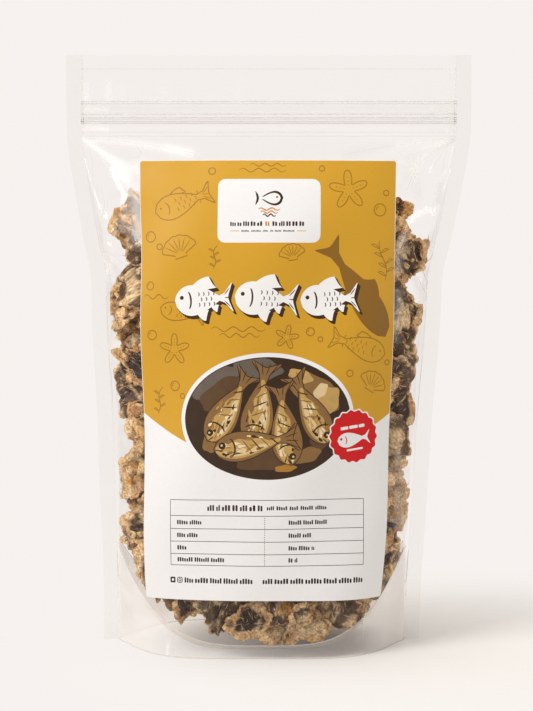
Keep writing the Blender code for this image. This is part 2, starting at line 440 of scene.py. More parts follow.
# Folds of the film. Each row: points (distance from the middle, height), half width and height, in mm.
FRONT_FOLDS = (
    (((-106, 287), (-87, 274), (-77, 256), (-74, 240)), 4.5, 2.0),
    (((-106, 288), (-76, 283), (-46, 278)), 4.5, 1.1),
    (((105, 287), (88, 281), (68, 279)), 4.5, 1.2),
    (((105, 287), (90, 274), (80, 258)), 4.0, 1.5),
    (((99, 272), (97, 262), (95, 250)), 2.5, 0.9),
    (((-98, 225), (-91, 212), (-95, 202)), 3.0, -1.8),
    (((-95, 202), (-90, 188), (-88, 170)), 3.0, 0.8),
    (((95, 223), (87, 209), (92, 197)), 3.0, -1.8),
    (((92, 197), (88, 184), (86, 160)), 3.0, 0.8),
    (((-82, 60), (-68, 34), (-56, 20)), 3.0, 0.9),
    (((-86, 40), (-74, 22), (-66, 4)), 4.0, 1.0),
    (((78, 60), (64, 34), (54, 20)), 3.0, 0.9),
    (((82, 40), (70, 22), (60, 4)), 4.0, 1.0),
)
BACK_FOLDS = (
    (((-104, 287), (-88, 276), (-72, 258)), 4.5, 1.8),
    (((-104, 288), (-70, 284), (-30, 276)), 5.0, 1.1),
    (((105, 287), (84, 274), (74, 252)), 4.5, 1.8),
    (((105, 287), (70, 282), (20, 279)), 4.5, 1.0),
    (((-97, 222), (-88, 210), (-93, 198)), 3.0, -1.8),
    (((95, 224), (87, 212), (93, 200)), 3.0, -1.8),
    (((-30, 262), (10, 250), (52, 257)), 6.0, 0.8),
    (((-82, 60), (-66, 34), (-52, 20)), 3.5, 0.9),
    (((80, 60), (64, 34), (50, 20)), 3.5, 0.9),
)
# Film ribs that run across the header. Each row: height, half width and how far it stands out, in mm.
HEADER_LINES = ((333.2, 0.5, 0.2), (327.2, 0.6, 0.2), (291.6, 0.7, 0.3), (289.2, 0.6, 0.2))


def from_line(x, z, line):
    """How far places on a panel lie from a line, and how far along it, from 0 to 1, its nearest point is."""
    points = np.array(line, float) * MM
    lengths = np.linalg.norm(np.diff(points, axis=0), axis=1)
    best = np.full(x.shape, 1e9)
    along_best = np.zeros(x.shape)
    before = 0.0
    for k in range(len(points) - 1):
        a = points[k]
        d = (points[k + 1] - a) / lengths[k]
        along = np.clip((x - a[0]) * d[0] + (z - a[1]) * d[1], 0.0, lengths[k])
        away = np.hypot(x - a[0] - along * d[0], z - a[1] - along * d[1])
        nearer = away < best
        best = np.where(nearer, away, best)
        along_best = np.where(nearer, before + along, along_best)
        before += lengths[k]
    return best, np.clip(along_best / lengths.sum(), 0.0, 1.0)


def fold_relief(x, z, folds):
    """The folds' height at places on a panel: each is a soft crest along its line that fades at its ends."""
    out = np.zeros_like(x)
    for line, half_width, height in folds:
        off, along = from_line(x, z, line)
        width = half_width * MM * (0.55 + 0.9 * along)
        out += height * MM * np.sin(math.pi * along) ** 0.7 * np.exp(-((off / width) ** 1.5))
    return out


ZIP_LOW = 295.6 * MM
ZIP_HIGH = 309.6 * MM
# Highlights painted on the film's folds, as lit white haze. Each row: points (distance from the middle,
# height) in mm, half width at its start and at its end, strength.
SHEENS = (
    (((-105.5, 287.5), (-96, 281), (-87, 274), (-81, 266)), 1.3, 2.8, 0.9),
    (((-87, 275), (-78, 271), (-71, 271)), 2.0, 4.5, 0.5),
    (((-84, 270), (-77, 260), (-73, 248), (-71, 234)), 3.2, 5.5, 0.5),
    (((-100, 287.0), (-80, 285.0), (-62, 282.5), (-44, 279)), 1.5, 2.8, 0.42),
    (((-56, 281.5), (-48, 280)), 3.0, 3.0, 0.25),
    (((-103.8, 319), (-103.8, 310.5)), 1.6, 1.9, 0.55),
    (((-91, 319), (-91, 311)), 2.0, 2.2, 0.5),
    (((-83.5, 318), (-83.5, 311)), 1.8, 1.8, 0.25),
    (((-104.6, 304.6), (-92, 304.2)), 1.6, 1.4, 0.6),
    (((-104.6, 294.0), (-92, 293.2)), 1.8, 1.4, 0.65),
    (((-60, 316), (-58, 308)), 4.0, 3.0, 0.20),
    (((-20, 318), (-16, 309)), 5.0, 4.0, 0.20),
    (((34, 316), (38, 308)), 5.0, 4.0, 0.16),
    (((102.8, 327), (104.0, 321)), 1.5, 1.8, 0.5),
    (((102.0, 314), (104.4, 310.5)), 1.5, 1.6, 0.45),
    (((104.2, 305.5), (92, 304.4)), 1.8, 1.4, 0.55),
    (((104.4, 295.6), (101.0, 291.0)), 1.9, 1.7, 0.8),
    (((105.5, 287.8), (90, 281), (78, 274)), 1.4, 4.0, 0.6),
    (((104.5, 287.6), (88, 286.0), (72, 283.5)), 1.4, 1.6, 0.35),
    (((86, 276), (83, 266), (84, 257)), 1.8, 3.2, 0.35),
    (((97.5, 262), (96.5, 252)), 1.4, 1.6, 0.45),
    (((93.5, 234), (93.0, 226)), 1.4, 1.6, 0.4),
    (((-94, 220), (-89, 216)), 2.4, 3.0, 0.22),
    (((-91, 213), (-93, 204)), 2.0, 2.4, 0.42),
    (((88, 210), (93, 214)), 2.0, 2.6, 0.25),
    (((89, 205), (91, 197)), 1.8, 2.2, 0.30),
    (((-91, 190), (-88, 150), (-86, 100)), 1.5, 1.6, 0.14),
    (((92, 190), (89, 150), (87, 100)), 1.5, 1.6, 0.18),
    (((76, 232), (72, 214)), 2.4, 4.0, 0.22),
    (((74, 200), (71, 176)), 3.0, 4.0, 0.16),
    (((75, 110), (77, 70)), 2.4, 3.4, 0.16),
)
# How much of these painted highlights the back film has, mirrored, and the most haze that they give.
BACK_SHEEN = 0.12
MOST_WHITE = 0.92


def painted_fold_sheen(x, z):
    """How strongly highlights are painted on the film's folds at places on the front panel."""
    out = np.zeros_like(x)
    for line, first, last, strength in SHEENS:
        off, along = from_line(x, z, line)
        width = (first + (last - first) * along) * MM
        out += strength * np.exp(-((off / width) ** 2))
    return out


def relief(side, x, z):
    """All that the film does over its smooth panel: folds, lines across the header, and the fish's lumps."""
    away = x - middle_at(z)
    out = fold_relief(away, z, FRONT_FOLDS if side < 0 else BACK_FOLDS)
    places = np.stack((x.ravel(), np.full(x.size, side), z.ravel()), 1)
    lumps = fractal(places * (45.0, 1.0, 38.0) + (0.0, 3.0, 0.0), 3).reshape(x.shape)
    out += 0.45 * MM * lumps * smooth((z - 0.012) / 0.02) * smooth((0.262 - z) / 0.03)
    header = smooth((z - 0.306) / 0.008) * smooth((HEIGHT - 0.004 - z) / 0.01)
    out += 0.35 * MM * noise3(places * (60.0, 1.0, 30.0) + (0.0, 9.0, 0.0)).reshape(x.shape) * header
    for height, half_width, rise in HEADER_LINES:
        out += rise * MM * np.exp(-(((z - height * MM) / (half_width * MM)) ** 2))
    if side < 0:
        label = smooth((0.078 - np.abs(away)) / 0.004) * smooth((z - 0.026) / 0.004)
        label *= smooth((0.279 - z) / 0.004)
        out = out * (1.0 - label) + np.clip(out, -0.5 * MM, 0.2 * MM) * label
    under_zip = smooth((z - ZIP_LOW) / (1.5 * MM) + 1.5) * smooth((ZIP_HIGH - z) / (1.5 * MM) + 1.5)
    u = np.abs(away) / half_at(z)
    return out * (1.0 - under_zip) * smooth((1.0 - u) / 0.05)


def panel_points(side, grid):
    """The points of a panel's film, the fold relief laid on along the panel's normals."""
    z = np.repeat(HEIGHTS[:, None], COLUMNS, 1)
    x = MIDDLE[:, None] + HALF[:, None] * ACROSS[None, :]
    y = side * (SEAL_HALF_THICKNESS + grid)
    points = np.stack((x, y, z), 2)
    normals = grid_normals(points)
    normals *= np.where(normals[:, :, 1] * side > 0, 1.0, -1.0)[:, :, None]
    points += normals * relief(side, x, z)[:, :, None]
    points[:, :, 1] = side * np.maximum(side * points[:, :, 1], SEAL_HALF_THICKNESS * 0.8)
    points[:, :, 2] = np.clip(points[:, :, 2], 0.0, HEIGHT)
    return points


FRONT_FILM = panel_points(-1.0, FRONT)
BACK_FILM = panel_points(1.0, BACK)


def make_films(material):
    for side, end, points in ((-1.0, "front", FRONT_FILM), (1.0, "back", BACK_FILM)):
        away = points[:, :, 0] - MIDDLE[:, None]
        white = painted_fold_sheen(-side * away, points[:, :, 2]) * (1.0 if side < 0 else BACK_SHEEN)
        faces = grid_faces(ROWS, COLUMNS)
        if side > 0:
            faces = faces[:, ::-1]
        film_piece("film_" + end, points, faces, material, np.clip(white, 0.0, MOST_WHITE))


def ring_stack(name, loops, material, flip=False):
    """A closed piece of film through loops of equal length, with flat ends."""
    rows, count = np.shape(loops)[:2]
    faces = grid_faces(rows, count, True).tolist()
    faces.append(list(range(count))[::-1])
    faces.append(list(range((rows - 1) * count, rows * count)))
    if flip:
        faces = [face[::-1] for face in faces]
    film_piece(name, loops, faces, material).data.set_sharp_from_angle(angle=math.radians(40))


SEAL_COLUMNS = 7
SEAL_HALF_STRIP = 0.14 * MM


def make_seals(material):
    """The side seals: thin closed strips where the front and back films are welded."""
    thick = np.full(SEAL_COLUMNS, SEAL_HALF_STRIP)
    for side, name in ((-1.0, "seal_left"), (1.0, "seal_right")):
        loops = []
        for z, half, middle in zip(HEIGHTS, HALF, MIDDLE):
            line = middle + side * np.linspace(half - 0.3 * MM, half + SEAL, SEAL_COLUMNS)
            wave = 0.5 * MM * math.sin(z * 60.0 + side) * smooth((0.29 - z) / 0.05)
            lift = wave * np.linspace(0.0, 1.0, SEAL_COLUMNS)
            up = np.full(SEAL_COLUMNS, z)
            front = np.stack((line, lift - thick, up), 1)
            back = np.stack((line, lift + thick, up), 1)
            loops.append(np.concatenate((front, back[::-1])))
        ring_stack(name, loops, material, side < 0)


def bead_loops(path, radii, sides):
    """Rings of points round a path, one at each of its places."""
    ahead = np.gradient(path, axis=0)
    ahead /= np.linalg.norm(ahead, axis=1)[:, None]
    loops = []
    across = np.cross(ahead[0], (0.0, 1.0, 0.0))
    turns = np.linspace(0.0, 2.0 * math.pi, sides, endpoint=False)[:, None]
    for place, direction, radius in zip(path, ahead, radii):
        across = across - direction * (across @ direction)
        across /= np.linalg.norm(across)
        loops.append(place + radius * (np.cos(turns) * across + np.sin(turns) * np.cross(direction, across)))
    return loops


def tube(name, path, radius, material, sides=8):
    """A round bead along a path, closed at its ends."""
    ring_stack(name, bead_loops(path, np.full(len(path), radius), sides), material)


# Sharp creases of the film. Each row: points (distance from the middle, height), radius in mm, its look.
# The white beads are painted highlights along the creases. The back film has them mirrored.
CREASES = (
    (((-96.5, 224), (-93.5, 219.5), (-89.5, 214.6)), 0.26, "white"),
    (((-89.5, 214.6), (-91.5, 208), (-93.5, 202)), 0.30, "white"),
    (((-96.5, 224), (-90, 223.4), (-82, 217.5)), 0.20, "grey"),
    (((-96.5, 224), (-96, 231), (-94.5, 238)), 0.18, "grey"),
    (((-93.5, 202), (-90.5, 192), (-89.5, 180), (-87.5, 165), (-87, 148)), 0.20, "grey"),
    (((-87, 148), (-86, 128), (-85, 104)), 0.18, "grey"),
    (((87, 208.5), (89.5, 203), (92.2, 196.5)), 0.26, "white"),
    (((87, 208.5), (92.5, 211), (97, 215.5)), 0.18, "grey"),
    (((92.2, 196.5), (92.4, 188), (91, 178), (90.2, 165)), 0.22, "grey"),
    (((90.2, 165), (88.6, 150), (87.6, 132)), 0.22, "white"),
    (((95.5, 262), (93.5, 250), (96.5, 236), (95, 228)), 0.20, "white"),
    (((-105.6, 288.2), (-86, 286.4), (-64, 283), (-42, 279)), 0.20, "grey"),
    (((-105.6, 287.4), (-88, 275.5), (-83, 268), (-80, 259)), 0.20, "white"),
    (((-103, 285), (-100, 276), (-99.6, 262), (-99, 250)), 0.16, "grey"),
    (((105.6, 288.2), (90, 286.8), (75, 283.8), (72, 280.5), (74, 277.5), (79, 277)), 0.22, "white"),
    (((105.6, 287.6), (96, 283.5), (84, 274), (79, 266)), 0.22, "white"),
    (((105.6, 287.2), (98, 279), (91, 268)), 0.16, "grey"),
    (((86, 278), (84, 268), (79.5, 258)), 0.20, "grey"),
    (((-105.6, 290), (-105.6, 309)), 0.22, "white"),
    (((105.6, 290), (105.6, 309)), 0.22, "white"),
    (((105.8, 309), (105.8, 334.5)), 0.26, "white"),
    (((-105.8, 309), (-105.8, 334.5)), 0.14, "grey"),
    (((-90, 52), (-87, 40), (-83, 30)), 0.2, "white"),
    (((-86, 30), (-80, 20), (-76, 10)), 0.2, "white"),
    (((88, 52), (84, 38), (79, 26)), 0.2, "white"),
    (((84, 26), (78, 16), (75, 6)), 0.2, "grey"),
)


CREASE_SIDES = 6
CREASE_STEPS = 25


def make_creases(side, end, materials):
    """Thin beads along the sharp creases of a film, one piece for each material; the white beads are painted
    highlights.
    """
    for tone, material in materials.items():
        points = []
        faces = []
        for line, radius, wanted in CREASES:
            if wanted != tone:
                continue
            corners = np.array(line, float) * MM * (-side, 1.0)
            lengths = lengths_along(*np.diff(corners, axis=0).T)
            along = np.linspace(0.0, lengths[-1], CREASE_STEPS)
            line = np.stack([np.interp(along, lengths, corners[:, k]) for k in (0, 1)], 1)
            for _ in range(2):
                line[1:-1] = (line[:-2] + line[1:-1] + line[2:]) / 3.0
            x, z = line.T
            path = film_point(side, x + middle_at(z), z)
            path[:, 1] += side * radius * MM * 0.5
            radii = radius * MM * np.sin(math.pi * np.linspace(0.06, 0.94, CREASE_STEPS)) ** 0.6
            first = CREASE_STEPS * CREASE_SIDES * len(points)
            faces.append(grid_faces(CREASE_STEPS, CREASE_SIDES, True) + first)
            points.append(bead_loops(path, radii, CREASE_SIDES))
        film_piece("crease_" + tone + "_" + end, points, np.concatenate(faces), material)


def film_point(side, x, z):
    """Places on the film over places across and heights."""
    return on_panel(FRONT_FILM if side < 0 else BACK_FILM, x, z)


# Brown haze on the foot's film, most in the middle under the heap: with the film's brown tint, painted warm
# light from the fish.
FOOT_WHITE = 0.16
FOOT_ROWS = 33
FOOT_COLUMNS = 97
# How far the foot's film sinks between its seams, and what share of the width it and the skirt take.
FOOT_SAG = 9.0 * MM
INSIDE_SEALS = 0.998


def make_foot(film, bead):
    """The folded-out foot: its film between the front and back seams, and the raised seams themselves, drawn
    as white beads that paint highlights along them.
    """
    u = np.sin(np.linspace(-1.0, 1.0, FOOT_COLUMNS) * math.pi / 2.0)
    x = MIDDLE[0] + u * HALF[0] * INSIDE_SEALS
    seam = seam_at(x)
    front = film_point(-1.0, x, seam)
    back = film_point(1.0, x, seam)
    points = []
    for v in np.linspace(0.0, 1.0, FOOT_ROWS):
        line = front * (1 - v) + back * v
        sag = 1.0 - (2.0 * v - 1.0) ** 2
        low = np.minimum(seam - 0.6 * MM, FOOT_SAG) * smooth((1.0 - np.abs(u)) / 0.35)
        ripple = 0.5 * MM * np.sin(x * 260.0 + 5.0 * v) * sag
        line[:, 2] -= sag**0.5 * low
        line[:, 2] += ripple * smooth(line[:, 2] / (6.0 * MM))
        line[:, 2] = np.maximum(line[:, 2], 0.4 * MM)
        points.append(line)
    white = FOOT_WHITE * smooth((0.9 - np.abs(u)) / 0.5)
    film_piece("film_foot", points, grid_faces(FOOT_ROWS, FOOT_COLUMNS), film, np.tile(white, FOOT_ROWS))
    for side, name, line in ((-1.0, "foot_seam_front", front), (1.0, "foot_seam_back", back)):
        tube(name, line + (0.0, side * 0.15 * MM, 0.0), 0.22 * MM, bead)


# Light painted on the skirt as white haze (0 to 1) at places across it, whitest towards its ends and least
# in the middle under the heap's shade, and how much of that its back has.
SKIRT_PLACES = (-0.095, -0.070, -0.045, 0.0, 0.050, 0.070, 0.095)
SKIRT_PAINTED_LIGHT = (0.42, 0.42, 0.20, 0.06, 0.14, 0.44, 0.42)
SKIRT_BACK = 0.1
SKIRT_ROWS = 25
SKIRT_COLUMNS = 121


def make_skirt(skirt, bead):
    """Below the foot's seams the films are welded to the foot's film: a hazier double layer."""
    x = MIDDLE[0] + np.linspace(-1.0, 1.0, SKIRT_COLUMNS) * HALF[0] * INSIDE_SEALS
    for side, end in ((-1.0, "front"), (1.0, "back")):
        heights = [0.3 * MM + v * (seam_at(x) - 0.3 * MM) for v in np.linspace(0.0, 1.0, SKIRT_ROWS)]
        points = np.array([film_point(side, x, z) for z in heights])
        points[:, :, 1] += side * 0.2 * MM
        faces = grid_faces(SKIRT_ROWS, SKIRT_COLUMNS)
        if side > 0:
            faces = faces[:, ::-1]
        # Painted light: more white haze where more light falls on the skirt.
        white = np.interp(x - MIDDLE[0], SKIRT_PLACES, SKIRT_PAINTED_LIGHT) * (1.0 if side < 0 else SKIRT_BACK)
        film_piece("skirt_" + end, points, faces, skirt, np.tile(white, SKIRT_ROWS))
        tube("skirt_edge_" + end, points[0] + (0.0, side * 0.1 * MM, 0.1 * MM), 0.28 * MM, bead, 6)


# The ribs of the zip's strips. Each row: height, half height and how far it stands out, in mm.
ZIP_RIBS = (
    (297.0, 0.55, 0.5),
    (300.1, 1.5, 0.95),
    (303.4, 0.35, 0.15),
    (307.0, 0.45, 0.4),
    (308.6, 0.4, 0.35),
)
# The lines along the zip's ribs and the header's; the white ones are painted highlights. Each row: height
# and radius in mm, and its look.
ZIP_LINES = (
    (309.0, 0.33, "white"),
    (307.6, 0.24, "grey"),
    (301.8, 0.36, "white"),
    (299.8, 0.33, "white"),
    (298.7, 0.21, "grey"),
    (297.6, 0.39, "grey"),
    (296.7, 0.30, "white"),
    (291.6, 0.15, "grey"),
    (289.3, 0.15, "grey"),
    (327.2, 0.15, "grey"),
)


ZIP_ROWS = 57
ZIP_COLUMNS = 61


def make_zip(material, materials):
    """The zip's two ribbed strips, as sheets just outside the films, and the lines along its ribs, of which
    the white ones are painted highlights.
    """
    heights = np.linspace(ZIP_LOW, ZIP_HIGH, ZIP_ROWS)
    out = np.full(ZIP_ROWS, 0.12 * MM)
    for height, half_width, rise in ZIP_RIBS:
        out += rise * MM * np.exp(-np.abs((heights - height * MM) / (half_width * MM)) ** 4)
    across = np.linspace(-1.0, 1.0, ZIP_COLUMNS)
    pinch = 0.25 + 0.75 * smooth((1.0 - np.abs(across)) / 0.03)
    line = middle_at(0.3) + across * (half_at(0.3) + 0.5 * MM)
    x, z = np.meshgrid(line, heights)
    for side, end in ((-1.0, "front"), (1.0, "back")):
        y = side * (SEAL_HALF_THICKNESS + out[:, None] * pinch)
        film_piece("zip_" + end, np.stack((x, y, z), 2), grid_faces(ZIP_ROWS, ZIP_COLUMNS), material)
        for number, (height, radius, tone) in enumerate(ZIP_LINES):
            lift = np.interp(height * MM, heights, out, 0.3 * MM, 0.3 * MM)
            up = np.full(ZIP_COLUMNS, height * MM)
            path = np.stack((line, side * (SEAL_HALF_THICKNESS + lift * pinch), up), 1)
            tube(f"zip_line_{end}_{number}", path, radius * MM, materials[tone], 6)


# ---------------------------------------------------------------- stockfish


def linear(red, green, blue):
    """A colour given as the eye sees it, 0 to 255, as linear light."""
    c = np.array((red, green, blue)) / 255.0
    return np.where(c <= 0.04045, c / 12.92, ((c + 0.055) / 1.055) ** 2.4)


SKIN_DARK = linear(76, 50, 30)
SKIN_GREY = linear(172, 142, 112)
SKIN_BROWN = linear(134, 96, 62)
FLESH_TAN = linear(220, 170, 114)
FLESH_CREAM = linear(255, 226, 180)
FLESH_BROWN = linear(140, 98, 60)
OIL_GOLD = linear(214, 150, 44)
RIM_PALE = linear(255, 216, 160)
# The colour of painted shade in hollows, pits and crease valleys.
HOLLOW_SHADE = linear(84, 50, 26)
STRAND = linear(255, 226, 180)


def cube_ball(squares):
    """Points and faces of a unit ball made from a cube whose faces hold this many squares a side."""
    index = {}
    faces = []
    for axis, end, a, b in np.ndindex(3, 2, squares, squares):
        ring = []
        for da, db in ((0, 0), (1, 0), (1, 1), (0, 1)):
            key = tuple(np.roll((end * squares, a + da, b + db), axis))
            ring.append(index.setdefault(key, len(index)))
        faces.append(ring if end else ring[::-1])
    corners = np.tan((2.0 * np.array(list(index)) / squares - 1.0) * math.pi / 4.0)
    return corners / np.linalg.norm(corners, axis=1)[:, None], np.array(faces)


def vertex_normals(points, faces):
    """Area-weighted normals of a mesh of four-sided faces."""
    across = np.cross(points[faces[:, 2]] - points[faces[:, 0]], points[faces[:, 3]] - points[faces[:, 1]])
    total = np.zeros_like(points)
    for corner in range(4):
        np.add.at(total, faces[:, corner], across)
    return total / np.maximum(np.linalg.norm(total, axis=1), 1e-12)[:, None]


def folded(points, direction, radius, rng):
    """Folds a plate that lies in its own XY plane into flat facets, as tightly as a curl of this radius.

    Gives the folded points, how near each is to a fold (0 to 1), and how light its facet is (-1 to 1).
    """
    c, s = math.cos(direction), math.sin(direction)
    along = points[:, 0] * c + points[:, 1] * s
    other = -points[:, 0] * s + points[:, 1] * c
    fold = rng.uniform(0.45, 0.85)
    phase = 20.0 + rng.random()
    shades = rng.uniform(-1.0, 1.0, 41)
    places = np.linspace(along.min(), along.max(), 400)
    turns = places / radius / fold + phase
    bend = smooth((turns % 1.0 - 0.40) / 0.20)
    facet = np.floor(turns).astype(int) % 40
    light = np.interp(along, places, shades[facet] + (shades[facet + 1] - shades[facet]) * bend)
    sloping = (np.floor(turns) + bend - phase) * fold
    step = places[1] - places[0]
    turn = np.interp(along, places, sloping)
    new_along = np.interp(along, places, np.cumsum(np.cos(sloping)) * step) - np.sin(turn) * points[:, 2]
    height = np.interp(along, places, np.cumsum(np.sin(sloping)) * step) + np.cos(turn) * points[:, 2]
    crest = np.interp(along, places, smooth(1.0 - np.abs(turns % 1.0 - 0.5) / 0.13))
    return np.stack((new_along * c - other * s, new_along * s + other * c, height), 1), crest, light


def mixed(first, second, share):
    return first + (second - first) * np.clip(share, 0.0, 1.0)[:, None]


def creased(places, rng, count, spacing):
    """Straight, sharp folds in several directions, as in skin that dried crumpled: from about -1 to 1."""
    total = np.zeros(len(places))
    for _ in range(count):
        way = rng.normal(size=3) * (1.0, 0.8, 0.4)
        way /= np.linalg.norm(way)
        apart = spacing * rng.uniform(0.6, 1.5)
        phase = places @ way / apart + rng.random()
        total += (np.abs(phase - np.floor(phase) - 0.5) * 4.0 - 1.0) * apart / spacing
    return total / math.sqrt(count)


def ridged(places, way, scale):
    """Thin crests with broad hollows between them, drawn out along the fibres: from 0 to 1."""
    return np.clip(1.0 - np.abs(noise3(places * way * scale)) * 1.9, 0.0, 1.0) ** 2.0


ALONG_FIBRES = np.array((1.0, 0.16, 1.0))


def torn_plate(ball, rng, long, wide, thick):
    """A thin plate with a torn, blunt-cornered outline: its points, how near the rim each is, and a shift."""
    points, _ = ball
    reach = np.sqrt(1.0 - np.abs(points[:, 2]))
    angle = np.arctan2(points[:, 1], points[:, 0])
    corners = int(rng.integers(4, 7))
    facings = rng.uniform(0, 6.28)
    facings = facings + (np.arange(corners) + rng.uniform(-0.3, 0.3, corners)) * 2 * math.pi / corners
    stretch = rng.uniform(0.62, 1.0, corners)
    pull = (np.maximum(np.cos(angle[:, None] - facings), 0.0) / stretch) ** 14
    outline = np.minimum(pull.sum(1) ** (-1.0 / 14.0), 1.3)
    flat = np.stack((outline * reach * np.cos(angle) * long, outline * reach * np.sin(angle) * wide), 1)
    shift = rng.uniform(0, 90, 3)
    edge_noise = np.c_[flat * 95.0, np.full(len(flat), 5.0)] + shift
    frayed = noise3(np.c_[flat * (520.0, 90.0), np.full(len(flat), 8.0)] + shift)
    bites = 0.26 * noise3(edge_noise) + 0.16 * noise3(edge_noise * 2.6) + 0.14 * frayed
    flat *= (1.0 + smooth((reach - 0.45) / 0.5) * bites)[:, None]
    body = np.clip(1.0 - reach**6, 0.0, 1.0) * (0.9 + 0.35 * smooth((reach - 0.55) / 0.3))
    return np.c_[flat, np.sign(points[:, 2]) * body * thick], reach, shift


def fish_piece(ball, rng, long, wide, thick, flesh, golden=0.0):
    """One chopped piece of dried fish in its own frame, in metres: points, colours and grain.

    With flesh at 0 its skin bulges towards +Z; with flesh at 1 it is a hollow shell with a thick torn rim
    that opens towards +Z.
    """
    points, faces = ball
    plate, reach, shift = torn_plate(ball, rng, long, wide, thick)
    rim = smooth((reach - 0.84) / 0.12)
    grain = plate / MM

    # The whole piece is curled and folded as it dried.
    opening = 1.0 if flesh >= 0.25 else -1.0
    first = rng.uniform(0, math.pi)
    shaped, crest, light = folded(plate, first, opening * rng.uniform(14, 26) * MM, rng)
    second = first + math.pi / 2 + rng.uniform(-0.5, 0.5)
    shaped, other_crest, other_light = folded(shaped, second, opening * rng.uniform(26, 60) * MM, rng)
    crest = np.maximum(crest, other_crest)
    light = 0.5 * (light + other_light)

    # Relief, in millimetres: folds, small crumples, fibres along the piece, torn pits and a curled rim.
    warp = np.stack([noise3(grain * 0.09 + shift + k) for k in (0.0, 30.0, 60.0)], 1)
    strands = grain + 2.6 * warp
    lumps = fractal(strands * 0.07 + shift, 2, 0.5)
    creases = creased(grain + 3.0 * warp, rng, 3, 16.0)
    crumples = creased(strands + 1.2 * warp, rng, 4, 4.2)
    medium = ridged(strands + shift + 9.0, ALONG_FIBRES, 0.36)
    fine = ridged(strands + shift + 3.0, ALONG_FIBRES, 0.72)
    curl = np.clip(noise3(grain * 0.14 + shift + 20.0) * 1.6 + 0.4, 0.0, 1.3)
    pits = smooth((-fractal(strands * (0.13, 0.07, 0.13) + shift + 70.0, 2) - 0.40) / 0.14) * (1.0 - rim)
    raised = 0.2 * lumps + 0.9 * creases + 0.25 * crumples + 0.38 * medium + 0.28 * fine
    raised += 0.4 * rim * curl - 1.4 * pits + 0.4 * crest * fine

    # Colours: silvery brown skin below, and above, flesh in a hollow with a pale torn rim. The colour
    # follows the relief too, lighter on raised ridges and darker in dips: partly the fibres' own tone and
    # partly painted light and shade.
    patches = fractal(strands * 0.10 + shift + 11.0, 3, 0.6) + 0.45 * light - 0.08
    height = np.clip(0.30 * medium + 0.36 * fine + 0.42 * creases + 0.24 * crumples + 0.20, 0.0, 1.0)
    skin = mixed(SKIN_DARK, SKIN_GREY, 0.65 * height + 0.65 * patches + 0.07)
    skin = mixed(skin, SKIN_BROWN, smooth((0.25 - patches) / 0.5) * 0.75)
    skin = mixed(skin, STRAND, smooth((height + 0.3 * patches - 0.70) / 0.3) * 0.8)
    # Painted shade: the flesh darkens towards the middle of its hollow.
    depth = smooth((0.86 - reach + 0.20 * patches) / 0.34)
    shell = mixed(FLESH_TAN, FLESH_CREAM, 1.2 * height + 0.9 * patches - 0.1)
    shell = mixed(shell, FLESH_BROWN, 1.6 * depth - 0.35 * height)
    shell = mixed(shell, HOLLOW_SHADE, smooth((depth - 0.42 * height - 0.15 + 0.5 * lumps) / 0.45))
    pale = smooth((0.45 + patches) / 0.3) * smooth((flesh - 0.55) / 0.2)
    shell = mixed(shell, mixed(FLESH_TAN, FLESH_CREAM, 1.7 * height), 0.8 * pale)
    hollow_side = smooth((points[:, 2] * opening + 0.25) / 0.3)
    colour = mixed(skin, shell, hollow_side)
    # Painted highlight along the fold crests.
    colour = mixed(colour, STRAND, crest * smooth((height + 0.5 * patches - 0.25) / 0.4) * 0.75)
    # The pale rim: partly the torn flesh's own colour and partly a painted highlight.
    edge = smooth((rim + 0.35 * curl - 0.62 + 0.40 * patches) / 0.30)
    colour = mixed(colour, mixed(FLESH_TAN, RIM_PALE, 1.8 * height), 0.92 * edge)
    gold = smooth((noise3(grain * 0.08 + shift + 33.0) - 0.50 + golden) / 0.3)
    colour = mixed(colour, OIL_GOLD, 0.75 * gold * (0.35 + height))
    # Painted shade in the torn pits.
    colour = mixed(colour, HOLLOW_SHADE, 0.6 * pits)

    shaped += vertex_normals(shaped, faces) * (raised * MM)[:, None]
    shaped -= shaped.mean(0)
    return shaped, colour, grain


def loose_fibres(rng, points, normals, count, ahead):
    """Thin torn fibres lying on a surface, each a tapered three-sided strand: points, faces and colours."""
    picks = rng.integers(0, len(points), count)
    out = normals[picks]
    way = ahead + rng.normal(size=(count, 3)) * 0.45
    way -= out * (way * out).sum(1)[:, None]
    way /= np.maximum(np.linalg.norm(way, axis=1), 1e-9)[:, None]
    beside = np.cross(out, way)
    long = rng.uniform(2.0, 5.5, count) * MM
    wide = rng.uniform(0.16, 0.36, count) * MM
    bow = rng.uniform(-0.25, 0.25, count) * long
    lift = rng.uniform(0.0, 0.22, count) * long
    rings = []
    for step in np.linspace(-1.0, 1.0, STRAND_RINGS):
        middle = points[picks] + way * (long * step / 2.0)[:, None] + beside * (bow * step**2)[:, None]
        middle += out * (0.12 * MM + lift * step**2 * (step > 0))[:, None]
        size = (wide * (1.0 - 0.75 * step**2))[:, None]
        rings.append(np.stack((middle + beside * size, middle - beside * size, middle + out * size), 1))
    strands = np.stack(rings, 1).reshape(-1, 3)
    each = STRAND_RINGS * STRAND_SIDES
    faces = grid_faces(STRAND_RINGS, STRAND_SIDES, True) + each * np.arange(count)[:, None, None]
    shade = rng.random((count, 1))
    colours = mixed(STRAND * (0.75 + 0.35 * shade), FLESH_TAN, rng.random(count) * 1.4 - 0.4)
    return strands, faces.reshape(-1, 4), np.repeat(colours, each, 0)


# The tone that stays as it is where the contrast is raised, and by what power.
MIDDLE_TONE = 0.2
CONTRAST = 0.2


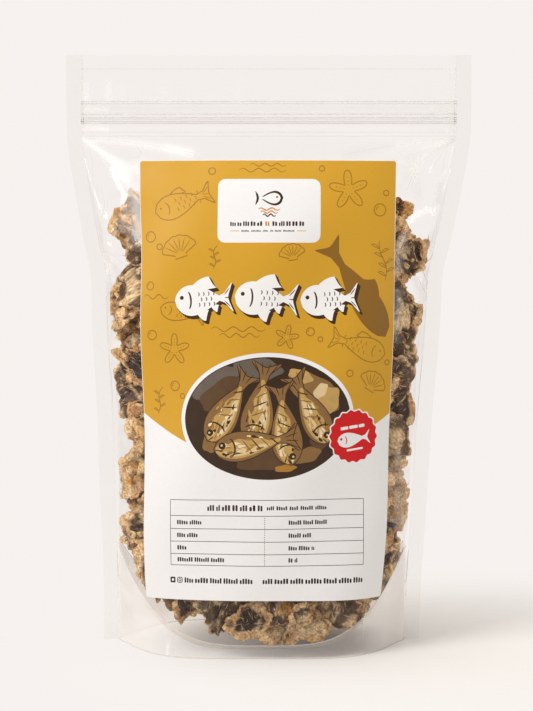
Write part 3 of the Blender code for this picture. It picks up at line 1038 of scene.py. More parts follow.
def joined_fish(name, points, faces, colours, grains, material, lightness):
    """Fish pieces joined into one mesh that carries each point's colour and grain."""
    made = mesh_object(name, np.concatenate(points), np.concatenate(faces), material)
    tone = made.data.attributes.new("tone", "FLOAT_COLOR", "POINT")
    warm = np.concatenate(colours)
    # A lightness below 1 darkens a whole group of pieces: painted shade.
    warm = warm * (warm.mean(1, keepdims=True) / MIDDLE_TONE) ** CONTRAST * GAIN * lightness
    tone.data.foreach_set("color", np.c_[warm, np.ones(len(warm))].ravel())
    grain = made.data.attributes.new("grain", "FLOAT_VECTOR", "POINT")
    grain.data.foreach_set("vector", np.concatenate(grains).ravel())
    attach(made, BODY)
    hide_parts("pouch")


# Fish pieces that show beside and below the label. Each row: how far the piece reaches to its side (or its
# middle, for those below the label), height, half length and half width in mm, turn from upright and how
# far it faces sideways in degrees, and how much of its flesh it shows (0 skin, 1 flesh).
LEFT_PIECES = (
    (90.5, 240, 17, 11, 25, -20, 0.7),
    (80.5, 224, 13, 9, -20, -5, 0.2),
    (86.5, 206, 18, 14, -35, -15, 0.0),
    (91.0, 193, 15, 10, 10, -30, 0.8),
    (87.5, 177, 15, 11, -15, 5, 0.9),
    (86.0, 160, 13, 11, 40, -20, 0.3),
    (87.5, 144, 17, 11, -10, -15, 0.0),
    (81.0, 126, 14, 8, -12, -10, 0.9),
    (83.0, 104, 16, 10, 40, -20, 0.7),
    (84.5, 89, 17, 11, -30, -15, 0.9),
    (84.5, 70, 15, 11, 25, -20, 0.6),
    (80.0, 56, 14, 9, -30, -10, 0.4),
    (74.5, 44, 12, 8, -40, -10, 0.8),
)
RIGHT_PIECES = (
    (81.0, 246, 13, 10, 50, 15, 0.3),
    (84.0, 237, 17, 11, -30, 20, 0.5),
    (91.0, 221, 15, 11, 70, 25, 0.6),
    (75.0, 212, 11, 10, 30, 0, 0.1),
    (82.0, 194, 14, 12, -35, 10, 0.0),
    (87.5, 187, 14, 10, 20, 25, 0.5),
    (83.5, 168, 19, 10, 18, 10, 0.1),
    (82.0, 152, 14, 11, -10, 10, 0.1),
    (85.0, 138, 15, 9, -30, 25, 0.5),
    (80.0, 118, 16, 11, 15, 10, 0.2),
    (77.0, 105, 12, 9, -25, 0, 0.7),
    (80.0, 91, 15, 11, -40, 20, 0.8),
    (79.0, 73, 15, 12, 15, 15, 0.9),
    (75.0, 57, 15, 9, -25, 10, 0.0),
    (72.5, 46, 14, 9, 20, 15, 0.5),
)
LOW_PIECES = (
    (-63, 41, 13, 9, -35, -10, 0.5),
    (-57, 38, 14, 10, -50, -5, 0.7),
    (-42, 31, 14, 10, 60, 0, 0.9),
    (-26, 25, 16, 12, 100, 0, 0.0),
    (-12, 21, 13, 9, 60, 0, 0.4),
    (1, 19, 15, 9, 5, 0, 0.7),
    (12, 27, 14, 9, 70, 0, 0.1),
    (20, 20, 12, 8, 40, 0, 0.8),
    (34, 26, 17, 12, 95, 5, 0.2),
    (45, 26, 12, 8, 55, 0, 0.5),
    (57, 37, 14, 10, 40, 10, 0.2),
    (64, 41, 13, 9, 30, 10, 0.6),
)
FILM_GAP = 0.7 * MM
BANDS = 84
# Loose fibres on each piece of these kinds.
FIBRES = {"fish_left": 55, "fish_right": 55, "fish_low": 60}
# How much darker the pieces low in the pouch are drawn: painted shade.
LOW_SHADE_FACTOR = 0.72
# How much darker the core is drawn: painted shade for the heap's deep gaps.
CORE_SHADE_FACTOR = 0.7
CORE_ROWS = 120
CORE_COLUMNS = 120
CORE_FOOT = 14.0 * MM
CORE_TALL = 222.0 * MM
STRAND_RINGS = 5
STRAND_SIDES = 3


def room(x, z, side):
    """How far the contents may reach towards a panel."""
    grid = FRONT if side < 0 else BACK
    return np.maximum(on_panel(grid, x, z) + SEAL_HALF_THICKNESS - FILM_GAP, 0.15 * MM)


def foot_height(x, y):
    """The height of the foot's film over a place: at the seam by the panels, and lower between them."""
    seam = seam_at(x)
    span = np.maximum(on_panel(FRONT, x, seam) + on_panel(BACK, x, seam), 1.0 * MM)
    v = np.clip((y + on_panel(FRONT, x, seam)) / span, 0.0, 1.0)
    u = np.abs(x - MIDDLE[0]) / HALF[0]
    sag = np.sqrt(np.clip(1.0 - (2.0 * v - 1.0) ** 2, 0.0, 1.0))
    return seam - sag * np.minimum(seam - 3.4 * MM, FOOT_SAG) * smooth((1.0 - u) / 0.35)


def kept_inside(points):
    """Presses points back into the space between the films, as the films press the pieces."""
    points = points.copy()
    reach = half_at(points[:, 2]) - 2.5 * MM
    away = points[:, 0] - middle_at(points[:, 2])
    over = np.abs(away) - reach
    points[:, 0] -= np.sign(away) * np.where(over > 0.0, over * 0.95, 0.0)
    for side in (-1.0, 1.0):
        limit = room(points[:, 0], points[:, 2], side)
        over = side * points[:, 1] - limit
        points[:, 1] -= side * np.where(over > 0.0, over, 0.0)
    floor = foot_height(points[:, 0], points[:, 1]) + 0.8 * MM
    points[:, 2] = np.maximum(points[:, 2], floor)
    return points


def outward(x, y, z):
    """The way a piece at a place faces: out through the nearest film."""
    side = -1.0 if y < 0 else 1.0
    depth = float(room(np.array([x]), np.array([z]), side)[0])
    wide = float(half_at(z))
    facing = Vector((x / wide**2, y / max(depth, 5.0 * MM) ** 2, 0.0))
    return facing.normalized()


def placed(piece, centre, facing, turn, rng, tilt):
    """A piece set at a place, its skin side facing a way, turned about that way and tilted a little."""
    points, colours, grain = piece
    upright = Vector((0.0, 0.0, 1.0))
    side = upright.cross(facing).normalized()
    up = facing.cross(side)
    frame_of = Matrix((side, up, facing)).transposed()
    lean = Matrix.Rotation(rng.uniform(-tilt, tilt), 3, side)
    lean = lean @ Matrix.Rotation(rng.uniform(-tilt, tilt), 3, up)
    whole = np.array(lean @ frame_of @ Matrix.Rotation(turn, 3, "Z"))
    return points @ whole.T + np.array(centre), colours, grain


INSIDE_SHARE = 0.92


def pressed_in(piece, side):
    """A piece moved in from its film until all but a few of its points lie inside."""
    points, colours, grain = piece
    over = side * points[:, 1] - room(points[:, 0], points[:, 2], side)
    step = max(0.0, float(np.quantile(over, INSIDE_SHARE)))
    return points - np.array((0.0, side * step, 0.0)), colours, grain


def make_shown_pieces(ball, rng, rows, side):
    """The pieces of one of the lists above, each set so that it reaches as far as its row says."""
    made = []
    for reach, z, long, wide, turn, sideways, flesh in rows:
        thick = rng.uniform(0.9, 1.6) * MM
        golden = rng.choice((0.0, 0.0, 0.2))
        piece = fish_piece(ball, rng, long * 1.12 * MM, wide * 1.12 * MM, thick, flesh, golden)
        angle = math.radians(sideways)
        facing = Vector((math.sin(angle), -math.cos(angle), 0.0))
        x = (side * (reach - wide) if side else reach) * MM
        y = -float(room(np.array([x]), np.array([z * MM]), -1.0)[0]) + 3.0 * MM
        points, colours, grain = placed(piece, (x, y, z * MM), facing, math.radians(90 - turn), rng, 0.25)
        if side:
            points[:, 0] += side * (reach * MM - np.quantile(side * points[:, 0], 0.995))
        made.append(pressed_in((points, colours, grain), -1.0))
    return made


def scattered(rng, count, region, apart):
    """Places at random in a box, none nearer to another than a distance."""
    low = np.array(region[0])
    high = np.array(region[1])
    kept = []
    for _ in range(count * 60):
        place = low + (high - low) * rng.random(3)
        if all(np.linalg.norm(place - other) > apart for other in kept):
            kept.append(place)
        if len(kept) == count:
            break
    return np.array(kept)


def make_layer(ball, rng, side, apart, sink, region, size):
    """A layer of pieces under one panel, at a depth below the film."""
    made = []
    (x_low, z_low), (x_high, z_high) = region
    places = scattered(rng, 400, ((x_low, 0.0, z_low), (x_high, 1e-9, z_high)), apart)
    for x, _, z in places:
        depth = float(room(np.array([x]), np.array([z]), side)[0])
        if abs(x - middle_at(z)) > half_at(z) - 9.0 * MM or z < seam_at(x) + 7.0 * MM:
            continue
        if depth - sink < -4.0 * MM:
            continue
        y = side * (depth - sink)
        long = rng.uniform(0.85, 1.25) * size
        piece = fish_piece(
            ball, rng, long, long * rng.uniform(0.55, 0.8), rng.uniform(1.3, 2.4) * MM,
            rng.choice((0.0, 0.0, 0.3, 0.8)), rng.choice((0.0, 0.0, 0.0, 0.25)),
        )
        facing = outward(x - middle_at(z), y, z)
        piece = placed(piece, (x, y, z), facing, rng.uniform(0, 6.28), rng, 0.45)
        made.append(pressed_in(piece, side))
    return made


def make_top_pieces(ball, rng, size):
    """The pieces that lie on top of the heap."""
    made = []
    facing = Vector((0.0, -0.3, 1.0)).normalized()
    for x, y, z in scattered(rng, 22, ((-0.074, -0.012, 0.232), (0.074, 0.012, 0.240)), 13.0 * MM):
        long = rng.uniform(0.9, 1.2) * size
        piece = fish_piece(ball, rng, long, long * 0.68, 3.0 * MM, rng.choice((0.0, 0.5, 0.9)), 0.1)
        made.append(placed(piece, (x, y, z), facing, rng.uniform(0, 6.28), rng, 0.6))
    return made


def make_side_pieces(ball, rng, size):
    """The pieces that close the heap between the two panels."""
    made = []
    for end in (-1.0, 1.0):
        for z in np.arange(34.0, 232.0, 17.0) * MM:
            centre = (middle_at(z) + end * (half_at(z) - 26.0 * MM), rng.uniform(-7.0, 7.0) * MM, z)
            long = rng.uniform(0.9, 1.2) * size
            piece = fish_piece(ball, rng, long, long * 0.7, 2.2 * MM, rng.choice((0.0, 0.3, 0.8)))
            facing = Vector((end, rng.uniform(-0.3, 0.3), 0.15)).normalized()
            made.append(placed(piece, centre, facing, rng.uniform(0, 6.28), rng, 0.5))
    return made


def make_core(material, rng):
    """The inside of the heap, seen through the gaps between pieces: one crumpled mass of fish, drawn darker
    than the rest and darkest in its crease valleys, as painted shade.
    """
    v = np.linspace(0.0, 1.0, CORE_ROWS)[:, None]
    turn = np.linspace(0.0, 2.0 * math.pi, CORE_COLUMNS, endpoint=False)[None, :]
    z = np.repeat(CORE_FOOT + CORE_TALL * v, CORE_COLUMNS, 1)
    end = np.sqrt(np.clip(1.0 - np.abs(2.0 * v - 1.0) ** 10, 0.0005, 1.0))
    wide = (half_at(z) - 19.0 * MM) * smooth((z - 4.0 * MM) / (40.0 * MM)) ** 0.5 * end
    x = middle_at(z) + wide * np.cos(turn)
    front, back = [room(x.ravel(), z.ravel(), side).reshape(x.shape) for side in (-1.0, 1.0)]
    deep = np.maximum(np.where(np.sin(turn) < 0, front, back) - 11.5 * MM, 2.0 * MM) * end
    points = np.stack((x, np.sin(turn) * deep, z), 2).reshape(-1, 3)
    grain = points / MM * (1.0, 1.0, 0.5)
    creases = creased(grain, rng, 5, 20.0)
    crumples = creased(grain, rng, 4, 6.0)
    fine = ridged(grain, ALONG_FIBRES, 0.5)
    patches = fractal(grain * 0.07, 3, 0.6)
    raised = 1.5 * creases + 0.9 * crumples + 0.5 * fine
    away = np.stack((np.cos(turn) + 0.0 * v, np.sin(turn) + 0.0 * v, 0.0 * x), 2).reshape(-1, 3)
    points = kept_inside(points + away * (raised * MM)[:, None])
    # Painted shade: darker skin, and darkest in the valleys of its creases.
    skin = mixed(SKIN_DARK, SKIN_BROWN, 0.5 * fine + 0.5 * crumples + 0.4 * patches + 0.3)
    colours = mixed(skin, FLESH_TAN, smooth((patches + 0.5 * creases - 0.3) / 0.4) * 0.6)
    colours = mixed(colours, HOLLOW_SHADE, smooth((-creases - 0.5 * crumples - 0.2) / 0.6))
    faces = grid_faces(CORE_ROWS, CORE_COLUMNS, True)
    joined_fish("fish_core", [points], [faces], [colours], [grain], material, CORE_SHADE_FACTOR)


def bands_of(points):
    return np.clip((points[:, 2] / HEIGHT * BANDS).astype(int), 0, BANDS - 1)


def outline_of(pieces):
    """How far pieces reach to the left and right at each height, in bands."""
    low = np.full(BANDS, 0.0)
    high = np.full(BANDS, 0.0)
    for points, _, _ in pieces:
        band = bands_of(points)
        np.minimum.at(low, band, points[:, 0])
        np.maximum.at(high, band, points[:, 0])
    return low, high


def drawn_in(pieces, outline):
    """Pieces moved towards the middle until none shows beyond an outline."""
    low, high = outline
    moved = []
    for points, colours, grain in pieces:
        band = bands_of(points)
        right = max(0.0, float((points[:, 0] - high[band]).max()) + 1.0 * MM)
        left = max(0.0, float((low[band] - points[:, 0]).max()) + 1.0 * MM)
        shift = left - right if left * right == 0.0 else 0.0
        moved.append((points + np.array((shift, 0.0, 0.0)), colours, grain))
    return moved


def make_fish():
    material = fish_material("fish")
    fine = cube_ball(25)
    fair = cube_ball(13)
    plain = cube_ball(7)
    rng = np.random.default_rng(41)
    size = 18.0 * MM
    left = make_shown_pieces(fine, rng, LEFT_PIECES, -1.0)
    right = make_shown_pieces(fine, rng, RIGHT_PIECES, 1.0)
    low = make_shown_pieces(fine, rng, LOW_PIECES, 0.0)
    outline = outline_of(left + right + low)
    back = make_layer(fair, rng, 1.0, 19.0 * MM, 5.0 * MM, ((-0.088, 0.016), (0.088, 0.246)), size)
    front = make_layer(plain, rng, -1.0, 25.0 * MM, 6.5 * MM, ((-0.066, 0.040), (0.066, 0.246)), size)
    deep = make_layer(plain, rng, -1.0, 21.0 * MM, 13.0 * MM, ((-0.084, 0.020), (0.084, 0.242)), size)
    deep += make_layer(plain, rng, 1.0, 21.0 * MM, 14.0 * MM, ((-0.084, 0.020), (0.084, 0.242)), size)
    deep += make_top_pieces(plain, rng, size)
    deep += make_side_pieces(plain, rng, size)
    half = len(back) // 2
    kinds = {
        "fish_left": (fine, left),
        "fish_right": (fine, right),
        "fish_low": (fine, low),
        "fish_back_one": (fair, drawn_in(back[:half], outline)),
        "fish_back_two": (fair, drawn_in(back[half:], outline)),
        "fish_front": (plain, drawn_in(front, outline)),
        "fish_deep": (plain, drawn_in(deep, outline)),
    }
    for name, (ball, pieces) in kinds.items():
        parts = []
        for shaped, tones, grain in pieces:
            shaped = kept_inside(shaped)
            parts.append((shaped, ball[1], tones, grain))
            if name in FIBRES:
                normals = vertex_normals(shaped, ball[1])
                ahead = Vector(shaped[np.argmax(grain[:, 1])] - shaped[np.argmin(grain[:, 1])]).normalized()
                strands, rings, tones = loose_fibres(rng, shaped, normals, FIBRES[name], np.array(ahead))
                strands = kept_inside(strands)
                parts.append((strands, rings, tones, strands / MM))
        points, faces, colours, grains = zip(*parts)
        before = np.cumsum([0] + [len(part) for part in points])
        faces = [part + first for part, first in zip(faces, before)]
        lightness = LOW_SHADE_FACTOR if name == "fish_low" else 1.0
        joined_fish(name, points, faces, colours, grains, material, lightness)
    make_core(material, rng)


# ---------------------------------------------------------------- label: its sheet

# Label places are in millimetres: across the paper from its middle line, and height above the floor.
LABEL_HALF_WIDTH = 72.25
LABEL_CENTRE = 0.8 * MM
LABEL_TILT = 1.0 * MM
LABEL_TAPER = 0.009
LABEL_FOOT = LABEL_LOW.z / MM + 3.4
LABEL_HEAD = LABEL_HIGH.z / MM - 0.3
LABEL_CORNER_DROP = 2.2
LABEL_LIFT = 0.72 * MM
LABEL_THICKNESS = 0.25 * MM
SHEET_ROWS = 124
SHEET_COLUMNS = 99


def label_sheet():
    """The points of the label's outer face, on an even grid of places on the paper."""
    across = np.linspace(-LABEL_HALF_WIDTH - 1.0, LABEL_HALF_WIDTH + 1.0, SHEET_COLUMNS)
    up = np.linspace(LABEL_FOOT - 1.0, LABEL_HEAD + 1.0, SHEET_ROWS)
    points = np.zeros((SHEET_ROWS, SHEET_COLUMNS, 3))
    for i, height in enumerate(up):
        share = (LABEL_HEAD - height) / (LABEL_HEAD - LABEL_FOOT)
        drop = LABEL_CORNER_DROP * MM * share * (across / LABEL_HALF_WIDTH) ** 2
        x = np.linspace(-0.086, 0.086, 400)
        depth = on_panel(FRONT, x, np.full(400, height * MM))
        length = lengths_along(np.diff(x), np.diff(depth))
        centre = middle_at(height * MM) + LABEL_CENTRE + LABEL_TILT * (2.0 * share - 1.0)
        length -= np.interp(centre, x, length)
        places = np.interp(across * MM * (1.0 + LABEL_TAPER * (1.0 - 2.0 * share)), length, x)
        z = height * MM - drop
        wave = 0.16 * MM * np.sin(places * 210.0 + 1.0) * float(smooth((height - LABEL_HEAD + 22.0) / 22.0))
        y = -(SEAL_HALF_THICKNESS + on_panel(FRONT, places, z) + LABEL_LIFT + wave)
        points[i] = np.stack((places, y, z), 1)
    return across, up, points


SHEET_ACROSS, SHEET_UP, SHEET_POINTS = label_sheet()


def on_label(places, lift=0.0):
    """Points over places on the paper, lifted off its face."""
    column = (places[:, 0] - SHEET_ACROSS[0]) / (SHEET_ACROSS[1] - SHEET_ACROSS[0])
    row = (places[:, 1] - SHEET_UP[0]) / (SHEET_UP[1] - SHEET_UP[0])
    return between(SHEET_POINTS, row, column) + between(grid_normals(SHEET_POINTS), row, column) * lift


# ---------------------------------------------------------------- label: shapes of its print


def turned(points, angle, centre):
    c, s = math.cos(angle), math.sin(angle)
    points = np.asarray(points, float)
    return np.stack((points[:, 0] * c - points[:, 1] * s, points[:, 0] * s + points[:, 1] * c), 1) + centre


def ellipse(centre, half_width, half_height, count=64, wobble=0.0, waves=0):
    turns = np.linspace(0.0, 2.0 * math.pi, count, endpoint=False)
    size = 1.0 + wobble * np.cos(turns * waves)
    return np.stack((np.cos(turns) * half_width * size, np.sin(turns) * half_height * size), 1) + centre


def arc(centre, half_width, half_height, start, end, count):
    """Part of an ellipse, between two angles in degrees."""
    turns = np.radians(np.linspace(start, end, count))
    return np.stack((np.cos(turns) * half_width, np.sin(turns) * half_height), 1) + centre


def round_box(low, high, radius, steps=6):
    """A rectangle with rounded corners."""
    points = []
    for start, right, top in ((0, 1, 1), (90, 0, 1), (180, 0, 0), (270, 1, 0)):
        x = high[0] - radius if right else low[0] + radius
        y = high[1] - radius if top else low[1] + radius
        points.append(arc((x, y), radius, radius, start, start + 90, steps))
    return np.concatenate(points)


def stroke(line, width):
    """The outline of a pen line along a path, thinner at its ends."""
    line = np.asarray(line, float)
    ahead = np.gradient(line, axis=0)
    ahead /= np.linalg.norm(ahead, axis=1)[:, None]
    beside = np.stack((-ahead[:, 1], ahead[:, 0]), 1)
    along = np.linspace(0.0, 1.0, len(line))
    half = width / 2.0 * (0.35 + 0.65 * np.sin(math.pi * along) ** 0.4)
    return np.concatenate((line + beside * half[:, None], (line - beside * half[:, None])[::-1]))


def grown(loop, by):
    """A closed outline moved outward, or inward if by is negative."""
    loop = np.asarray(loop, float)
    ahead = np.roll(loop, -1, 0) - np.roll(loop, 1, 0)
    ahead /= np.maximum(np.linalg.norm(ahead, axis=1), 1e-9)[:, None]
    area = np.sum(loop[:, 0] * np.roll(loop[:, 1], -1) - loop[:, 1] * np.roll(loop[:, 0], -1))
    outward_way = np.stack((ahead[:, 1], -ahead[:, 0]), 1) * (1 if area > 0 else -1)
    return loop + outward_way * by


def fish_loop(length, height, fork=0.5, steps=16):
    """A plain fish in outline: nose at the left, tail at the right, its middle at zero."""
    u = np.linspace(0.0, 1.0, steps)
    back = 0.5 * height * np.sin(math.pi * u**0.75) ** 0.85 * (1.0 - 0.25 * u)
    body_x = (u * 0.80 - 0.5) * length
    upper = np.stack((body_x, back + 0.03 * height), 1)
    lower = np.stack((body_x, -back * 1.05 - 0.03 * height), 1)
    xs = (0.36, 0.48, 0.5, 0.5 - 0.084 * fork, 0.5 - 0.102 * fork)
    half = np.stack((xs, (0.16, 0.45, 0.47, 0.12, 0.0)), 1) * (length, height)
    tail_points = np.concatenate((half, half[-2::-1] * (1.0, -1.0)))
    return np.concatenate((upper[:-1], tail_points, lower[:-1][::-1][:-1]))


def fin_loop(length, height):
    """A swept-back fin, its foot along zero: a long leading edge and a short, hollow trailing one."""
    u = np.linspace(0.0, 1.0, 9)
    leading = np.stack((u * 0.72 * length, height * np.sin(u * math.pi / 2.0) ** 0.8), 1)
    trailing = np.stack(((0.72 + 0.28 * u) * length, height * (1.0 - u) ** 1.8 - 0.10 * height * u), 1)
    return np.concatenate((leading, trailing[1:], [(length * 0.5, -0.25 * height), (0.0, -0.2 * height)]))


class Print:
    """The shapes of a print in the order they lie, each an outline and the name of its ink."""

    def __init__(self, shapes, angle=0.0, centre=(0.0, 0.0), mirror=(1.0, 1.0)):
        self.shapes = shapes
        self.setting = angle, centre, mirror

    def at(self, angle, centre, mirror=(1.0, 1.0)):
        """The same print, for shapes that are mirrored, turned and set about a centre."""
        return Print(self.shapes, angle, centre, mirror)

    def fill(self, ink, loop):
        angle, centre, mirror = self.setting
        self.shapes.append((ink, turned(np.asarray(loop) * mirror, angle, centre)))

    def ring(self, ink, inside, loop, width):
        """A closed outline drawn as a line, with the ink below it shown inside."""
        self.fill(ink, grown(loop, width / 2.0))
        self.fill(inside, grown(loop, -width / 2.0))

    def line(self, ink, path, width):
        self.fill(ink, stroke(path, width))

    def bar(self, ink, left, middle, width, height):
        low = (left, middle - height / 2.0)
        high = (left + width, middle + height / 2.0)
        self.fill(ink, round_box(low, high, min(height, width) * 0.3, 2))

    def words(self, ink, left, middle, widths, height, space):
        """Rows of plain upright strokes in place of a line of words. They spell nothing."""
        for width in widths:
            count = max(2, round(width / (0.5 * height)))
            pitch = width / count
            for k in range(count):
                turn = (k * 7 + int(left * 3.0)) % 5
                tall = height * (1.0, 0.78, 1.0, 0.72, 0.9)[turn]
                foot = middle - height / 2.0
                self.bar(ink, left + k * pitch, foot + tall / 2.0, 0.72 * pitch, tall)
            left += width + space
        return left


PEN = 0.62


def draw_fish(page, centre, length, height, angle, flip=1.0):
    """A fish drawn with a pen: outline, gill, eye, fins and rows of scales."""
    pen = page.at(angle, centre, (flip, 1.0))
    fin = fin_loop(0.34 * length, 0.24 * height) + (-0.22 * length, 0.40 * height)
    pen.fill("ochre_line", grown(fin, 0.2))
    pen.fill("ochre", grown(fin, -0.45))
    pen.ring("ochre_line", "ochre", fish_loop(length, height), PEN)
    pen.line("ochre_line", arc((-0.34 * length, 0.0), 0.09 * length, 0.30 * height, -60, 60, 12), PEN)
    pen.fill("ochre_line", ellipse((-0.39 * length, 0.09 * height), 0.55, 0.55, 12))
    for row in range(3):
        for k in range(5 - row % 2):
            place = ((-0.14 + 0.095 * k + 0.045 * (row % 2)) * length, (row - 1) * 0.19 * height)
            pen.line("ochre_line", arc(place, 0.035 * length, 0.085 * height, -60, 60, 12), PEN * 0.75)
    for k in (-1.0, 0.0, 1.0):
        ray = np.linspace((0.34, 0.05 * k), (0.46, 0.25 * k), 5) * (length, height)
        pen.line("ochre_line", ray, PEN * 0.75)


def draw_bubble(page, centre, radius):
    page.ring("ochre_line", "ochre", ellipse(centre, radius, radius, 26), PEN)
    if radius > 2.0:
        page.line("ochre_line", arc(centre, radius * 0.62, radius * 0.62, 110, 190, 8), PEN * 0.8)


def draw_wave(page, start, length, height, count):
    u = np.linspace(0.0, 1.0, 12 * count)
    wave = np.stack((u * length, height * np.sin(u * count * 2.0 * math.pi)), 1)
    page.line("ochre_line", wave + start, PEN)


def draw_shell(page, centre, radius, angle):
    """A fan shell: a scalloped rim and ribs that meet at its hinge."""
    pen = page.at(angle, centre)
    turns = np.radians(np.linspace(-72, 72, 43))
    rim = radius * (1.0 + 0.045 * np.abs(np.sin(turns * 7.5)))
    fan = np.stack((np.sin(turns) * rim, np.cos(turns) * rim), 1)
    base = np.array(((0.30, 0.0), (0.34, -0.16), (-0.34, -0.16), (-0.30, 0.0))) * radius
    pen.ring("ochre_line", "ochre", np.concatenate((fan, base)), PEN)
    for rib in np.radians((-50, -30, -10, 10, 30, 50)):
        along = np.linspace(0.18, 0.93, 6)[:, None] * radius
        pen.line("ochre_line", along * (np.sin(rib), np.cos(rib)), PEN * 0.8)


def draw_star(page, centre, radius, angle):
    """A sea star with round arms."""
    turns = np.linspace(0.0, 2.0 * math.pi, 60, endpoint=False)
    size = radius * (0.66 + 0.36 * np.cos(turns * 5.0))
    star = np.stack((np.cos(turns) * size, np.sin(turns) * size), 1)
    page.at(angle, centre).ring("ochre_line", "ochre", star, PEN)
    for arm in np.arange(5) * 2 * math.pi / 5 + angle:
        for k in (0.25, 0.45, 0.65):
            spot = np.array((math.cos(arm), math.sin(arm))) * radius * k
            page.fill("ochre_line", ellipse(spot + centre, 0.34, 0.34, 8))


def draw_weed(page, foot, height, lean, leaves):
    """Sea grass: a curved stem with leaves to each side."""
    u = np.linspace(0.0, 1.0, 20)
    stem = np.stack((lean * u**2 + 1.3 * np.sin(u * 6.0), height * u), 1) + foot
    page.line("ochre_line", stem, PEN)
    v = np.linspace(0.0, 1.0, 8)
    for k in range(leaves):
        leaf = np.stack((v if k % 2 else -v, 0.55 * np.sin(v * 2.2)), 1)
        other = leaf - np.stack((0.0 * v, 0.30 * np.sin(v * math.pi)), 1)
        loop = np.concatenate((leaf, other[::-1][1:-1])) * height * 0.22
        page.ring("ochre_line", "ochre", loop + stem[2 + int(k * 16 / leaves)], PEN * 0.8)


def draw_dark_fish(page, centre, angle):
    pen = page.at(angle, centre)
    pen.fill("ochre_dark", fish_loop(62, 17))
    pen.fill("ochre_dark", fin_loop(17, -5.5) + (-13, -6.0))
    pen.fill("ochre_dark", fin_loop(10, 4.5) + (-6, 6.0))


# What is drawn on the ochre field, in order. Each row: what, its place, and its sizes and turn.
MOTIFS = (
    (draw_fish, (-47, 251), 34, 14, 0.35),
    (draw_bubble, (-66, 232), 2.9),
    (draw_bubble, (-60.5, 226.5), 1.6),
    (draw_bubble, (-31, 268.5), 1.9),
    (draw_shell, (-48, 222), 10.5, 0.3),
    (draw_wave, (-16, 269), 26, 1.1, 3),
    (draw_wave, (-10, 272), 20, 0.8, 3),
    (draw_star, (45, 258), 11.0, 0.4),
    (draw_bubble, (30, 270), 1.5),
    (draw_bubble, (63, 247), 3.4),
    (draw_bubble, (66.5, 256.5), 1.5),
    (draw_weed, (66, 208), 22, -3, 7),
    (draw_weed, (-30, 214), 13, 3, 5),
    (draw_shell, (14, 220), 7.5, 0.2),
    (draw_bubble, (-66, 205), 2.2),
    (draw_wave, (-70, 199), 15, 1.2, 2),
    (draw_dark_fish, (50, 203), 2.16),
    (draw_star, (-52, 170), 8.6, 0.3),
    (draw_bubble, (-65, 178), 2.6),
    (draw_fish, (-47, 190), 26, 10, -0.2),
    (draw_wave, (-31, 181), 30, 1.3, 3),
    (draw_wave, (-26, 177.6), 22, 1.1, 3),
    (draw_star, (11, 176.5), 6.6, 0.1),
    (draw_bubble, (24, 179.5), 2.2),
    (draw_bubble, (29.5, 175.5), 1.3),
    (draw_fish, (51, 172), 33, 13, -0.30, -1.0),
    (draw_shell, (58.5, 149), 9.0, -0.5),
    (draw_bubble, (46, 157), 1.8),
    (draw_bubble, (68.5, 163), 1.4),
    (draw_weed, (-63, 134.5), 15, 4, 5),
    (draw_bubble, (-52, 150), 2.6),
    (draw_bubble, (-47.5, 144.5), 1.3),
)


def draw_field(page):
    """The ochre field with its pen-drawn sea motifs."""
    side = LABEL_HALF_WIDTH - 0.3
    head = LABEL_HEAD - 0.25
    u = np.linspace(-1.0, 1.0, 41)
    lower = np.stack((u * side, 109.5 + 25.5 * u**2), 1)
    corner = round_box((-side, 200.0), (side, head), 1.2, 4)[:8]
    page.fill("ochre", np.concatenate((lower, corner)))
    for draw, *rest in MOTIFS:
        draw(page, *rest)


def draw_mark(page):
    """The white panel with a plain fish over waves, and bars where a name would be."""
    page.fill("paper", round_box((-27.6, 228.4), (29.2, 264.0), 4.3))
    centre = np.array((0.8, 251.6))
    page.fill("brown", fish_loop(15.5, 8.4) * (-1.0, 1.0) + centre + (0, 1.6))
    page.fill("paper", fish_loop(12.6, 6.0) * (-1.0, 1.0) + centre + (0, 1.6))
    page.fill("brown", ellipse(centre + (4.3, 2.2), 0.55, 0.55, 12))
    u = np.linspace(0.0, 1.0, 30)
    for k, ink in enumerate(("orange", "orange", "brown")):
        width = 12.0 - 2.4 * k
        line = np.stack((u * width - width / 2.0, 0.65 * np.sin(u * 4.0 * math.pi)), 1)
        page.line(ink, line + centre + (0, -4.6 - 1.7 * k), 0.75)
    page.words("brown", -20.6, 238.9, (3.4, 2.6, 3.6, 3.0, 3.2), 2.7, 0.55)
    page.words("orange", -1.3, 238.9, (2.6,), 2.7, 0.5)
    page.words("brown", 2.6, 238.9, (3.0, 3.5, 2.8, 3.3, 3.0), 2.7, 0.55)
    page.bar("orange", -20.6, 234.9, 5.0, 0.35)
    page.words("brown", -14.4, 234.9, (4.4, 5.6, 3.0, 1.8, 3.6, 6.2), 1.0, 0.9)
    page.bar("orange", 16.3, 234.9, 5.0, 0.35)


# The title's fish. Each row: place, length, height and turn.
TITLE_FISH = (
    (-35.0, 197.4, 32.5, 17.0, 0.07),
    (-0.4, 197.8, 35.0, 18.5, -0.05),
    (34.6, 197.4, 32.5, 17.0, 0.07),
)


